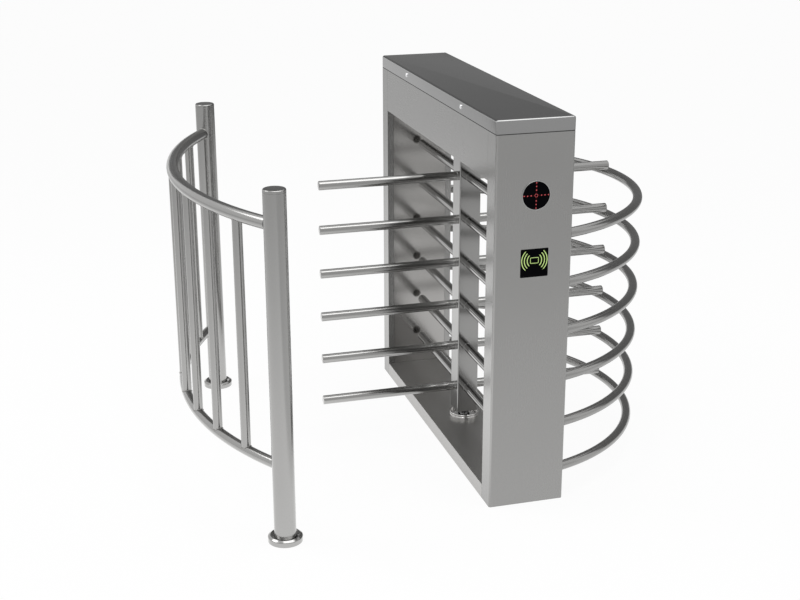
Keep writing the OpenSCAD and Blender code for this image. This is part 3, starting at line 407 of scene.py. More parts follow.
def steel(name, tone, rough, grain, source="Object", lines=0.06, clouds=0.06, cloud_scale=3.0):
    """Ground steel. grain holds how many lines a metre show along each axis: few along the grain,
    many across it. source is Object for sheets and UV for tubes."""
    material, tree, shader = empty_material(name)
    where = wire(tree, "ShaderNodeTexCoord").outputs
    stretch = wire(tree, "ShaderNodeMapping", {"Scale": grain}, {"Vector": where[source]})
    values = {
        "Tone": (*tone, 1),
        "Line share": lines,
        "Cloud share": clouds,
        "Cloud scale": cloud_scale,
        "Roughness": rough,
        "Roughness spread": ROUGH_SPREAD,
    }
    made = wire(tree, "ShaderNodeGroup", values,
                {"Grain vector": stretch.outputs[0], "Place": where["Object"]},
                node_tree=GROUND_STEEL).outputs
    raised = wire(tree, "ShaderNodeBump", {"Strength": 0.25, "Distance": LINE_DEPTH},
                  {"Height": made["Height"]})
    feed(tree, shader, {"Metallic": 1.0},
         {"Base Color": made["Colour"], "Roughness": made["Roughness"], "Normal": raised.outputs[0]})
    return material


# %% [markdown]
# Sheets are ground along their length: upright on the columns, along the cabinet on header, sill and
# lid. A single steel for all would be simpler, but the grain has to turn with each panel.

# %% Steels
UPRIGHT = (900, 900, 12)
LENGTHWISE = (900, 12, 900)
ROUND_TUBE = (10, 700, 1)
ON_LATHE = (30, 500, 1)
FINE = (400, 400, 400)
STEEL = (0.335, 0.333, 0.327)
LID_STEEL = (0.32, 0.32, 0.319)
PORTAL_STEEL = (0.385, 0.378, 0.368)
SILL_STEEL = (0.44, 0.434, 0.424)
POST_STEEL = (0.305, 0.303, 0.298)
CHROME = (0.88, 0.88, 0.89)

cabinet_upright = steel("cabinet_steel_upright", STEEL, 0.26, UPRIGHT)
cabinet_long = steel("cabinet_steel_lengthwise", STEEL, 0.26, LENGTHWISE)
lid_steel = steel("lid_steel_lengthwise", LID_STEEL, 0.12, LENGTHWISE)
portal_upright = steel("portal_steel_upright", PORTAL_STEEL, 0.15, UPRIGHT, lines=0.05)
sill_steel = steel("portal_floor_steel", SILL_STEEL, 0.36, LENGTHWISE, lines=0.05)
post_steel = steel("rotor_post_steel", POST_STEEL, 0.13, UPRIGHT, lines=0.05)
tube_steel = steel("tube_steel_polished", STEEL, 0.19, ROUND_TUBE, source="UV")
arm_steel = steel("arm_steel_polished", STEEL, 0.14, ROUND_TUBE, source="UV", lines=0.04)
turned_steel = steel("turned_steel_polished", STEEL, 0.14, ON_LATHE, source="UV")
collar_steel = steel("collar_steel_mirror", (0.72, 0.71, 0.70), 0.06, ON_LATHE, source="UV", lines=0.03)
bright_steel = steel("bright_steel_turned", (0.42, 0.42, 0.415), 0.3, ON_LATHE, source="UV")
chrome = steel("lock_chrome", CHROME, 0.16, (60, 400, 1), source="UV", lines=0.02)
plug_chrome = steel("lock_plug_chrome", CHROME, 0.2, FINE, lines=0.02)
weld_steel = steel("weld_bead_steel", (0.30, 0.296, 0.288), 0.30, (200, 200, 200))
frame_steel = steel("frame_zinc", (0.33, 0.34, 0.35), 0.45, (60, 60, 60), lines=0.2, clouds=0.25,
                    cloud_scale=18)
machined = steel("machined_steel_turned", (0.42, 0.42, 0.43), 0.24, FINE, lines=0.1)
bronze = steel("bronze_turned", (0.50, 0.30, 0.10), 0.28, (400, 400, 60), lines=0.12)
supply_case = steel("supply_case_pressed", (0.48, 0.48, 0.47), 0.4, (300, 20, 300), lines=0.08)
print(len(bpy.data.materials), "materials so far, most of them steels")

# %% [markdown]
# Rubber, mouldings, glass, the board and the lit dots are not metal. Each gets a small procedural
# mottle, so that none is one flat colour, and a roughness of its own.

# %% Plastics, rubber and light
MOTTLE_ROUGH = 0.05
GRIT_TIMES = 12
DIM_SHARE = 0.8


def two_tones(tree, low, high, values):
    """A noise on the object's own place, and a colour that runs with it from low to high."""
    place = wire(tree, "ShaderNodeTexCoord").outputs["Object"]
    noise = wire(tree, "ShaderNodeTexNoise", values, {"Vector": place}).outputs["Fac"]
    ramp = wire(tree, "ShaderNodeValToRGB", links={"Fac": noise})
    for element, colour in zip(ramp.color_ramp.elements, (low, high)):
        element.color = (*colour, 1)
    return place, noise, ramp.outputs["Color"]


def mottled(name, low, high, rough, scale, bump=0.0002, shine=0.5):
    """A non-metal: colour runs from low to high and roughness by a tenth with one noise, and a finer
    noise raises the surface."""
    material, tree, shader = empty_material(name)
    place, noise, colour = two_tones(tree, low, high, {"Scale": scale, "Detail": 3.0})
    grit = wire(tree, "ShaderNodeTexNoise", {"Scale": scale * GRIT_TIMES, "Detail": 2.0},
                {"Vector": place})
    spread = wire(tree, "ShaderNodeMapRange",
                  {"To Min": rough - MOTTLE_ROUGH, "To Max": rough + MOTTLE_ROUGH}, {"Value": noise})
    raised = wire(tree, "ShaderNodeBump", {"Strength": 0.3, "Distance": bump},
                  {"Height": grit.outputs["Fac"]})
    feed(tree, shader, {"Specular IOR Level": shine},
         {"Base Color": colour, "Roughness": spread.outputs[0], "Normal": raised.outputs[0]})
    return material


def lit(name, colour, strength, scale):
    """A lit surface: its own colour, and a glow whose brightness runs with a noise, as it does over the
    face of a lamp."""
    material, tree, shader = empty_material(name)
    glow = two_tones(tree, [DIM_SHARE * c for c in colour], colour, {"Scale": scale})[2]
    feed(tree, shader, {"Emission Strength": strength, "Roughness": 0.35, "Specular IOR Level": 0.05},
         {"Base Color": glow, "Emission Color": glow})
    return material


rubber = mottled("black_rubber_moulded", (0.012, 0.012, 0.012), (0.03, 0.03, 0.03), 0.6, 60)
black_case = mottled("black_case_moulded", (0.02, 0.02, 0.022), (0.035, 0.035, 0.038), 0.5, 80)
black_glass = mottled("black_window_glossy", (0.001, 0.001, 0.002), (0.003, 0.003, 0.004), 0.2, 20,
                      bump=0.00001, shine=0.02)
board_green = mottled("board_solder_mask", (0.02, 0.12, 0.05), (0.04, 0.2, 0.09), 0.35, 120)
red_light = lit("indicator_red", (0.56, 0.10, 0.11), 0.6, 400)
red_glow = lit("indicator_dim_red", (0.026, 0.0004, 0.001), 0.3, 400)
green_light = lit("reader_green", (0.50, 0.68, 0.24), 0.55, 300)
print(len(bpy.data.materials), "materials in all for the object")

# %% [markdown]
# The CAD nodes that stay keep their meshes. Each takes the finish of its slot, and sheets take the
# one whose grain runs their way.

# %% Finishes on the CAD nodes
BY_SLOT = {
    "cabinet_steel": cabinet_upright,
    "lid_steel": lid_steel,
    "portal_steel": portal_upright,
    "tube_steel": machined,
    "arm_steel": post_steel,
    "frame_steel": frame_steel,
    "machined_steel": machined,
    "bronze": bronze,
    "black_case": black_case,
    "black_window": black_glass,
    "red_dots": red_light,
    "board_green": board_green,
    "supply_case": supply_case,
    "black_rubber": rubber,
}
BY_NODE = {
    "header_channel": cabinet_long,
    "sill_cover": sill_steel,
    "rotor_post": post_steel,
    "front_lock_cam": plug_chrome,
    "rear_lock_cam": plug_chrome,
}

for name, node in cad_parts.items():
    slot_name = node.data.materials[0].name.split(".")[0]
    node.data.materials[0] = BY_NODE.get(name, BY_SLOT[slot_name])
print("finishes on", len(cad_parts), "CAD nodes")

# %% [markdown]
# ## Arms
# Four wings of six tubes are welded to the square post. One wing could be made and instanced four
# times, but a weld bead and a cap belong to each tube, so the parts are drawn along X and turned about
# the rotor's axis: tubes from the post's face to the cap, caps with a rounded rim, and small beads.

# %% Arms, caps and their welds
ARM_R = 0.0175
CAP_T = 0.003
CAP_ROUND = 0.0014
ROOT_BEAD_R = 0.001
ROOT_DEPTH = 0.01
POLE_R = 0.0002
CAP_SIDES = 48
CIRCLE = full_turn(96)
wing_low, wing_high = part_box("wing_right")
_, post_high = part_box("rotor_post")
arm_root, arm_end = post_high.x, wing_high.x
LEVELS = 6
arm_levels = np.linspace(wing_low.z + ARM_R, wing_high.z - ARM_R, LEVELS)
WINGS = {"wing_right": 0, "wing_rear": 90, "wing_left": 180, "wing_front": 270}


def turned_about(part, degrees):
    """A part with its vertices turned about the rotor's axis, which is Z."""
    c, s = math.cos(math.radians(degrees)), math.sin(math.radians(degrees))
    spin = np.array([[c, -s, 0], [s, c, 0], [0, 0, 1]])
    return part[0] @ spin.T, part[1], part[2]


cap_profile = fillet([(POLE_R, 0), (ARM_R, 0), (ARM_R, CAP_T), (POLE_R, CAP_T)], [0, 0, CAP_ROUND, 0],
                     closed=False)
caps, roots = [], []
for wing, degrees in WINGS.items():
    tubes = []
    for z in arm_levels:
        tubes.append(turned_about(tube([(arm_root, 0, z), (arm_end, 0, z)], ARM_R), degrees))
        caps.append(turned_about(plug_of(cap_profile, (arm_end, 0, z), "x", CAP_SIDES), degrees))
        height = z + ARM_R * np.sin(CIRCLE)
        circle = np.stack([np.full(len(CIRCLE), arm_root), ARM_R * np.cos(CIRCLE), height], 1)
        roots.append(turned_about(bead(circle, (arm_root - ROOT_DEPTH, 0, z), ROOT_BEAD_R), degrees))
    build(wing + "_tubes", tubes, "rotor", arm_steel, [wing])
build("arm_cap_discs", caps, "rotor", turned_steel, ["arm_caps"])
build("arm_root_welds", roots, "rotor", arm_steel)

# %% [markdown]
# ## Hoops
# Each hoop is one bent tube. Both ends run through a hole in the column to the frame inside, and a
# rubber boot closes the hole. The bend is worked out from how far the hoop stands out and how far
# apart its ends are, rather than drawn by eye, so that it follows the solid's size.

# %% Hoops
HOOP_R = 0.0175
HOOP_STEPS = 140
HOOP_SIDES = 40
UPRIGHT_HALF = 0.02
_, col_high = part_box("rear_column")
low_low, low_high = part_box("hoops_lower")
top_low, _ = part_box("hoops_upper")
hoop_pitch = (top_low.z - low_low.z) / (LEVELS - 2)
hoop_first = low_low.z + HOOP_R
_, upright_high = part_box("frame_uprights")
root_y = upright_high.y - UPRIGHT_HALF
hoop_seat = low_low.x
hoop_far = low_high.x - HOOP_R
half_w = col_high.x
reach = hoop_far - half_w
hoop_bend = (reach**2 + root_y**2) / (2 * reach)
hoop_centre = hoop_far - hoop_bend


def hoop_line(z):
    """Middle line of a hoop: an arc about the hoop's centre, from seat to seat."""
    stop = math.acos((hoop_seat - hoop_centre) / hoop_bend)
    angle = np.linspace(-stop, stop, HOOP_STEPS)
    out = hoop_centre + hoop_bend * np.cos(angle)
    return np.stack([out, hoop_bend * np.sin(angle), np.full(HOOP_STEPS, z)], 1)


levels = [hoop_first + k * hoop_pitch for k in range(LEVELS)]
for k, node in enumerate(["hoops_lower", "hoops_middle", "hoops_upper"]):
    tubes = [tube(hoop_line(z), HOOP_R, HOOP_SIDES) for z in levels[2 * k : 2 * k + 2]]
    build(node + "_tubes", tubes, "cabinet", tube_steel, [node])

# %% [markdown]
# A boot is a short moulded sleeve round the tube, whose face slopes from a flange to the tube. A plain
# ring would show a hard step that the real one hasn't got. The boots at the front end are trimmed
# thinner, as their edge doesn't show in the picture.

# %% Boots
BOOT_R = 0.024
BOOT_T, FRONT_BOOT_T = 0.005, 0.0012
BOOT_PLAY, BOOT_LIP = 0.0003, 0.002
boots = []
for side, lip in ((-1, FRONT_BOOT_T), (1, BOOT_T)):
    corners = [
        (HOOP_R + BOOT_PLAY, 0),
        (BOOT_R, 0),
        (BOOT_R, 0.5 * lip),
        (HOOP_R + BOOT_LIP, lip),
        (HOOP_R + BOOT_PLAY, lip),
    ]
    boot_profile = fillet(corners, [0, 0.08 * lip, 0.28 * lip, 0.2 * lip, 0.06 * lip])
    boots += [ring_of(boot_profile, (half_w, side * root_y, z), "x", 48) for z in levels]
build("hoop_boot_lips", boots, "cabinet", rubber, ["hoop_boots"])

# %% [markdown]
# ## Guard rail
# Two posts, two bent rails and seven bars. The rails meet the posts, and the bars meet the rails, in
# coped joints, so each weld bead follows the line where two cylinders cross.

# %% Guard posts
GUARD_POST_R = 0.038
TOP_RAIL_R = 0.022
LOW_RAIL_R = 0.019
BAR_R = 0.017
BARS = 7
POST_SIDES = 72
TOP_GAP = 0.0006
guard_low, guard_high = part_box("guard_posts")
guard_x = guard_high.x - GUARD_POST_R
guard_half = guard_high.y - GUARD_POST_R
posts = [(guard_x, side * guard_half, 0) for side in (-1, 1)]
tube_top = guard_high.z
post_parts = []
for x, y, _ in posts:
    ends = [(x, y, guard_low.z), (x, y, tube_top - TOP_GAP)]
    post_parts.append(tube(ends, GUARD_POST_R, POST_SIDES, up=(1, 0, 0)))
build("guard_post_tubes", post_parts, "cabinet", tube_steel, ["guard_posts"])

# %% [markdown]
# A pressed cap closes each post. Its edge is widely rounded, and a hairline shows where it sits on the
# tube. So the profile runs up inside the tube, out over its rim and round to the middle, and it isn't
# a ball cut in two, which would have no rim.

# %% Guard caps
cap_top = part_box("guard_caps")[1].z
CAP_ROUNDING = 0.0125
CAP_DEEP = 0.02
CAP_STEP = 0.0004
CAP_POLE = 0.0003
CAP_INSET = 0.0012
plug_r = GUARD_POST_R - CAP_INSET
cap_side = fillet(
    [
        (CAP_POLE, tube_top - CAP_DEEP),
        (plug_r, tube_top - CAP_DEEP),
        (plug_r, tube_top),
        (GUARD_POST_R, tube_top + CAP_STEP),
        (GUARD_POST_R, cap_top),
        (CAP_POLE, cap_top),
    ],
    [0, 0, 0, 0.0003, CAP_ROUNDING, 0], steps=9, closed=False,
)
domes = [plug_of(cap_side, p, "z", POST_SIDES) for p in posts]
build("guard_cap_domes", domes, "cabinet", turned_steel, ["guard_caps"])

# %% [markdown]
# A polished cover hides the bolts of each foot. It is a shallow bell with a sloping shoulder, and its
# deck dips towards the post. As one closed profile it has an inside, where the foot plate stays.

# %% Foot covers
RIM_SIDES = 96
_, foot_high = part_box("guard_foot_covers")
cover_r = foot_high.x - guard_x
cover_h = foot_high.z
SHOULDER_W, SHOULDER_H = 0.0095, 0.006
COVER_WALL = 0.0037
DECK_DROP, DECK_T, DECK_PLAY = 0.005, 0.002, 0.0006
deck_z = cover_h - DECK_DROP
post_edge = GUARD_POST_R + DECK_PLAY
cover_profile = fillet(
    [
        (cover_r - COVER_WALL, 0.0),
        (cover_r, 0.0),
        (cover_r, cover_h - SHOULDER_H),
        (cover_r - SHOULDER_W, cover_h),
        (post_edge, deck_z),
        (post_edge, deck_z - DECK_T),
        (cover_r - COVER_WALL, deck_z - DECK_T),
    ],
    [0, 0.0003, 0.004, 0.003, 0.0004, 0.0004, 0.0004], steps=9,
)
rims = [ring_of(cover_profile, p, "z", RIM_SIDES) for p in posts]
build("guard_cover_rims", rims, "cabinet", turned_steel, ["guard_foot_covers"])

# %% [markdown]
# Both rails are bent to the same curve, and the bars stand at equal steps along it. The curve's radius
# follows from half the span and the bow: (half span squared + bow squared) / (2 bow). A modifier could
# bend straight tubes, but then the bars' places would have to be found afterwards.

# %% Guard rails
RAIL_STEPS = 120
INTO_WALL = 0.002
rail_low, rail_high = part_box("guard_top_rail")
bottom_low, bottom_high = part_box("guard_bottom_rail")
top_z = (rail_low.z + rail_high.z) / 2
bottom_z = (bottom_low.z + bottom_high.z) / 2
bow = guard_x - (rail_low.x + TOP_RAIL_R)
guard_bend = (guard_half**2 + bow**2) / (2 * bow)
guard_centre = guard_bend - bow + guard_x
guard_angle = math.asin(guard_half / guard_bend)
bar_step = 2 * guard_angle / (BARS + 1)


def on_rail(angle, z):
    """Point of the rail's middle line at an angle from the way the guard bows, and its direction."""
    place = np.array([guard_centre - guard_bend * math.cos(angle), guard_bend * math.sin(angle), z])
    return place, np.array([math.sin(angle), math.cos(angle), 0.0])


def rail_tube(z, radius):
    """A rail from post to post, its ends just inside the posts' walls."""
    trim = (GUARD_POST_R - INTO_WALL) / guard_bend
    angles = np.linspace(-guard_angle + trim, guard_angle - trim, RAIL_STEPS)
    return tube([on_rail(a, z)[0] for a in angles], radius)


RAILS = {"guard_top_rail": (top_z, TOP_RAIL_R), "guard_bottom_rail": (bottom_z, LOW_RAIL_R)}
for node, (z, rail_r) in RAILS.items():
    build(node + "_tube", [rail_tube(z, rail_r)], "cabinet", tube_steel, [node])

# %% [markdown]
# Each bar is a straight tube that ends inside the rails. Where a bar meets a rail, the weld runs along
# the line in which the two cylinders cross: the rise over the rail's middle is the root of the rail's
# radius squared less the distance to the side squared. A plain ring would float or sink there.

# %% Guard bars and weld beads
ROUND = full_turn(120)[:, None]
UP = np.array([0.0, 0.0, 1.0])
INTO_RAIL = 0.7
bar_parts, weld_parts = [], []
for k in range(BARS):
    angle = (k + 1) * bar_step - guard_angle
    low, along = on_rail(angle, bottom_z)
    high, _ = on_rail(angle, top_z)
    ends = [low + UP * LOW_RAIL_R * INTO_RAIL, high - UP * TOP_RAIL_R * INTO_RAIL]
    bar_parts.append(tube(ends, BAR_R, up=(1, 0, 0)))
    side = np.cross(along, UP)
    for middle, rail_r, way in ((low, LOW_RAIL_R, 1), (high, TOP_RAIL_R, -1)):
        rise = np.sqrt(rail_r**2 - (BAR_R * np.sin(ROUND)) ** 2)
        line = middle + BAR_R * (np.cos(ROUND) * along + np.sin(ROUND) * side) + way * rise * UP
        weld_parts.append(bead(line, middle))
for sign in (-1, 1):
    for z, rail_r in RAILS.values():
        middle, along = on_rail(sign * guard_angle, z)
        side = np.cross(along, UP)
        inset = np.sqrt(GUARD_POST_R**2 - (rail_r * np.cos(ROUND)) ** 2)
        line = middle - sign * inset * along + rail_r * (np.cos(ROUND) * side + np.sin(ROUND) * UP)
        weld_parts.append(bead(line, middle))
build("guard_bar_tubes", bar_parts, "cabinet", tube_steel, ["guard_bars"])
build("guard_weld_beads", weld_parts, "cabinet", weld_steel)

# %% [markdown]
# ## Floor collar
# The polished cup on the portal floor, in which the rotor turns. It is a lathe part with two bands and
# a groove, so it is made as one profile carried round, and not as three rings that would have to meet.

# %% Floor collar
collar_low, collar_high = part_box("floor_collar")
collar_r = collar_high.x
collar_z, collar_top = collar_low.z, collar_high.z
COLLAR_BORE, COLLAR_FLOOR, COLLAR_RIM = 0.024, 0.003, 0.005
FOOT_BAND, HEAD_BAND, WAIST = 0.0065, 0.0075, 0.0016
CUP_TAPER = 0.001
waist_r = collar_r - WAIST
waist_low, waist_high = collar_z + FOOT_BAND, collar_top - HEAD_BAND
collar_profile = fillet(
    [
        (COLLAR_BORE, collar_z),
        (collar_r, collar_z),
        (collar_r, waist_low),
        (waist_r, waist_low + WAIST),
        (waist_r, waist_high - WAIST),
        (collar_r, waist_high),
        (collar_r, collar_top),
        (collar_r - COLLAR_RIM, collar_top),
        (collar_r - COLLAR_RIM - CUP_TAPER, collar_z + COLLAR_FLOOR),
        (COLLAR_BORE, collar_z + COLLAR_FLOOR),
    ],
    [0, 0.0003, 0.0024, 0.0006, 0.0006, 0.001, 0.0024, 0.0016, 0.001, 0.0003],
)
cup = ring_of(collar_profile, (0, 0, 0), "z", RIM_SIDES)
build("floor_collar_cup", [cup], "cabinet", collar_steel, ["floor_collar"])

# %% [markdown]
# ## Lid
# A folded tray, open below. Its top edges are bent, not cut, so they have a radius, which shows as a
# thin light line all the way round. A bevel on a box could give that line, but the tray also has an
# inside, so the shell is one profile, up inside, over, out and down, carried round the cabinet's plan.

# %% Lid
FOLD_R = 0.008
LID_ROUND = 0.0075
SHEET = 0.002
SEAM = 0.0015
CORNER_STEPS = 10
LEAST_R = 0.0004
lid_low, lid_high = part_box("lid")
skirt_z = lid_low.z + SEAM


def rounded_rectangle(half_x, half_y, radius, steps):
    """Points round a rectangle with its middle at zero: a quarter circle for each corner, whose middle
    lies a radius inside both sides."""
    out = []
    for quarter, (sx, sy) in enumerate([(1, 1), (-1, 1), (-1, -1), (1, -1)]):
        angle = np.linspace(0, math.pi / 2, steps) + quarter * math.pi / 2
        x = sx * (half_x - radius) + radius * np.cos(angle)
        y = sy * (half_y - radius) + radius * np.sin(angle)
        out.append(np.stack([x, y], 1))
    return np.vstack(out)


def lid_rows(profile):
    """Rows of a grid from a profile of insets and heights: each inset draws the lid's plan in, and with
    it the radius of its corners."""
    rows = []
    for inset, z in profile:
        radius = max(FOLD_R - inset, LEAST_R)
        plan = rounded_rectangle(lid_high.x - inset, lid_high.y - inset, radius, CORNER_STEPS)
        rows.append(np.column_stack([plan, np.full(len(plan), z)]))
    return np.stack(rows)


def bent_edge(start, radius, turns):
    """Profile of the bent top edge of a skin that lies start inside the box: inset is start plus
    radius times (1 - cos), and height is the top less start less radius times (1 - sin)."""
    top = lid_high.z - start
    return [(start + radius * (1 - math.cos(a)), top - radius * (1 - math.sin(a))) for a in turns]


bend = np.linspace(0, math.pi / 2, 7)
inner = [*bent_edge(SHEET, LID_ROUND - SHEET, bend[::-1]), (SHEET, skirt_z)]
outer = [(0.0, skirt_z), *bent_edge(0.0, LID_ROUND, bend)]
build("lid_shell", [solid(lid_rows(inner + outer))], "lid", lid_steel, ["lid"])

# %% [markdown]
# A rubber lip lies on the cabinet's rim, so that the lid closes softly. It sits almost flush with the
# skirt's face, so its black also paints the seam's shade as a dark line under the skirt. It is the same
# plan again, as a thin closed band, and ends a hair under the skirt's edge.

# %% Gasket lip
LIP_IN, LIP_W = 0.0006, 0.011
LIP_GAP = 0.0003
lip_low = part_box("lid_gasket")[0].z
lip_high = skirt_z - LIP_GAP
lip_rows = lid_rows([(LIP_IN, lip_low), (LIP_IN, lip_high), (LIP_W, lip_high), (LIP_W, lip_low)])
# The lip's black, a hair inside the skirt's face, is partly painted shade for the seam.
build("lid_gasket_lip_and_seam_shade", [solid(lip_rows, ring=True)], "cabinet", rubber, ["lid_gasket"])

# %% [markdown]
# The two locks stand a little proud of the lid's skirt. Each is a chromed barrel with a rounded flange,
# and in its middle turns the plug. The barrel is turned as one profile round its bore, so that the
# plug, which moves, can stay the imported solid.

# %% Locks
lock_low, lock_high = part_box("lock_housings")
lock_r = (lock_high.z - lock_low.z) / 2
lock_y, lock_z = lock_high.y - lock_r, (lock_low.z + lock_high.z) / 2
lock_len = lock_high.x - lock_low.x
LOCK_FLANGE = 0.004
LOCK_STEP, PLUG_PLAY = 0.0013, 0.0003
bore_r = lock_r / 2 + PLUG_PLAY
body_r = lock_r - LOCK_STEP
lock_profile = fillet(
    [
        (bore_r, 0),
        (lock_r, 0),
        (lock_r, LOCK_FLANGE),
        (body_r, LOCK_FLANGE),
        (body_r, lock_len),
        (bore_r, lock_len),
    ],
    [0.0004, 0.0024, 0.0002, 0.0002, 0.0004, 0.0002], steps=7,
)
lock_places = [(lock_low.x, side * lock_y, lock_z) for side in (-1, 1)]
barrels = [ring_of(lock_profile, place, "x", CAP_SIDES) for place in lock_places]
build("lock_barrels", barrels, "lid", chrome, ["lock_housings"])

# %% [markdown]
# ## Indicator
# Black glass in a thin turned bezel, with red dots along a cross. The bezel comes first. Its front
# edge is rounded in the profile, because a turned rim shines as a ring only where it has a radius, and
# a bevel added afterwards would round its hidden edges too.

# %% Bezel
bezel_low, bezel_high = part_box("lamp_bezel")
lamp_x = (bezel_low.x + bezel_high.x) / 2
lamp_z = (bezel_low.z + bezel_high.z) / 2
lamp_r = (bezel_high.x - bezel_low.x) / 2
bezel_t = bezel_high.y - bezel_low.y
BEZEL_W = 0.0025
bezel_profile = fillet(
    [(lamp_r - BEZEL_W, 0), (lamp_r, 0), (lamp_r, bezel_t), (lamp_r - BEZEL_W, bezel_t)],
    [0.0002, 0.0002, 0.0009, 0.0006],
)
bezel = ring_of(bezel_profile, (lamp_x, bezel_high.y, lamp_z), "-y", RIM_SIDES)
build("lamp_bezel_ring", [bezel], "cabinet", bright_steel, ["lamp_bezel"])

# %% [markdown]
# The window is a disc of black glass, crowned a little, so that it takes up more of the studio than a
# flat mirror would. Its height falls from the middle by the crown times the radius' share squared.

# %% Black glass
lens_low, lens_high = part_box("lamp_lens")
lens_r = (lens_high.x - lens_low.x) / 2
lens_t = lens_high.y - lens_low.y
DOME = 0.0003
dome = [(lens_r * share, lens_t - DOME * share**2) for share in np.linspace(1, 0.004, 14)]
glass_profile = [(POLE_R, 0), (lens_r, 0), *dome]
glass = plug_of(glass_profile, (lamp_x, lens_high.y, lamp_z), "-y", RIM_SIDES)
build("lamp_glass", [glass], "cabinet", black_glass, ["lamp_lens"])

# %% [markdown]
# The lit cross is rows of small domes on the glass, with a ring in the middle, and dim strips under
# them stand for the glow between the dots. A picture on the glass would show the same from the front,
# but domes keep their shine and edge from every side.

# %% Lit dots
DOT_R = 0.0021
RING_SHARE = 0.12
DOT_SHARES = (0.385, 0.645, 0.905)
RING_HEIGHT_SHARE = 0.7
STRIP_W, STRIP_T = 0.0046, 0.0002
STRIP_END_SHARE = 0.96
dots_low, dots_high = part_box("lamp_dots")
dot_t = dots_high.y - dots_low.y
lamp_middle = np.array([lamp_x, dots_high.y, lamp_z])
dome_turns = np.linspace(math.pi / 2, 0.08, 6)
dot_profile = [(POLE_R / 2, 0), *[(DOT_R * math.sin(a), dot_t * math.cos(a)) for a in dome_turns]]
ring_r, ring_t = lens_r * RING_SHARE, dot_t * RING_HEIGHT_SHARE
ring_profile = [(ring_r - DOT_R / 2, 0), (ring_r, 0), (ring_r, ring_t), (ring_r - DOT_R / 2, ring_t)]
dot_parts = [ring_of(ring_profile, lamp_middle, "-y", 32)]
strips = []
for turn in np.arange(4) * math.pi / 2:
    way = np.array([math.cos(turn), 0, math.sin(turn)])
    for share in DOT_SHARES:
        dot_parts.append(plug_of(dot_profile, lamp_middle + lens_r * share * way, "-y", 16))
    across = np.array([-way[2], 0, way[0]]) * STRIP_W / 2
    deep = np.array([0, STRIP_T / 2, 0])
    section = np.stack([across + deep, deep - across, -across - deep, across - deep])
    ends = [lamp_middle + lens_r * share * way for share in (RING_SHARE, STRIP_END_SHARE)]
    strips.append(solid(np.stack([end + section for end in ends])))
build("lamp_led_dots", dot_parts, "cabinet", red_light, ["lamp_dots"])
build("lamp_led_strips", strips, "cabinet", red_glow)

# %% [markdown]
# ## Reader
# A black plate with soft corners and a thin rounded edge. It is a rounded rectangle drawn in by an
# inset at each depth, as the lid's plan is. A cube with a bevel would give its corners and its front
# edge the same radius, and they differ here.

# %% Reader plate
window_low, window_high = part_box("reader_window")
reader_x = (window_low.x + window_high.x) / 2
reader_z = (window_low.z + window_high.z) / 2
reader_half = (window_high.x - window_low.x) / 2
thick = window_high.y - window_low.y
CORNER = 0.003
EDGE = 0.0004
READER_STEPS = 8


def front_ring(half_x, half_z, corner, depth, rise=0.0):
    """Rounded rectangle on the front end, at a depth from the plate's front face and a rise over its
    middle."""
    x, z = rounded_rectangle(half_x, half_z, corner, READER_STEPS).T
    return np.stack([reader_x + x, np.full(len(x), window_low.y + depth), reader_z + rise + z], 1)


insets = [(0, thick), (0, EDGE), (EDGE / 3, EDGE / 3), (EDGE, 0)]
plate = np.stack([front_ring(reader_half - i, reader_half - i, CORNER, depth) for i, depth in insets])
build("reader_plate", [solid(plate)], "cabinet", black_glass, ["reader_window"])

# %% [markdown]
# The face carries a plain green pattern: an empty card between waves. It is a print with a little
# thickness, made as flat bands. A mask in the plate's material could draw it too, but its edges would
# blur when the material is baked, and bands stay sharp from near.

# %% Reader print
PRINT_T = 0.00012
WAVE_RADII = (0.026, 0.0365, 0.046)
WAVE_W = 0.0032
WAVE_HALF = math.radians(47)
ART_RISE = 0.009
art_z = reader_z + ART_RISE
CARD_HALF = (0.0145, 0.0098)
CARD_LINE = 0.002
CARD_CORNER = 0.0025
FLATNESS = 16
END_WIDTH = 0.01


def wave(radius, way):
    """One printed arc: a flat band between two radii, raised by the print's thickness. Its half width
    is full in the middle and falls near the ends, as the root of 1 less the 16th power of the way
    out."""
    swing = np.linspace(-WAVE_HALF, WAVE_HALF, 30)
    out = np.abs(swing) / WAVE_HALF
    width = WAVE_W / 2 * np.sqrt(np.clip(1 - out**FLATNESS, END_WIDTH, 1))
    rows = []
    for a, w in zip(swing, width):
        edges = (radius - w, radius + w)
        x0, x1 = [reader_x + way * r * math.cos(a) for r in edges]
        z0, z1 = [art_z + r * math.sin(a) for r in edges]
        y0, y1 = window_low.y + PRINT_T, window_low.y - PRINT_T
        rows.append([(x0, y0, z0), (x1, y0, z1), (x1, y1, z1), (x0, y1, z0)])
    return solid(np.array(rows))


def card_outline():
    """An empty card: a closed band round a rounded rectangle, raised by the print's thickness."""
    half = CARD_LINE / 2
    rows = []
    for grow, depth in [(half, PRINT_T), (half, -PRINT_T), (-half, -PRINT_T), (-half, PRINT_T)]:
        half_x, half_z = CARD_HALF[0] + grow, CARD_HALF[1] + grow
        rows.append(front_ring(half_x, half_z, CARD_CORNER + grow, depth, ART_RISE))
    return solid(np.stack(rows), ring=True)


artwork = [wave(r, way) for r in WAVE_RADII for way in (-1, 1)] + [card_outline()]
build("reader_print", artwork, "cabinet", green_light)

# %% [markdown]
# ## Floor and light
# The floor is a wide flat disc, a hair below the feet, so that the two never lie in one plane. A
# square plane would do as well, but its corners could show in a polished tube.

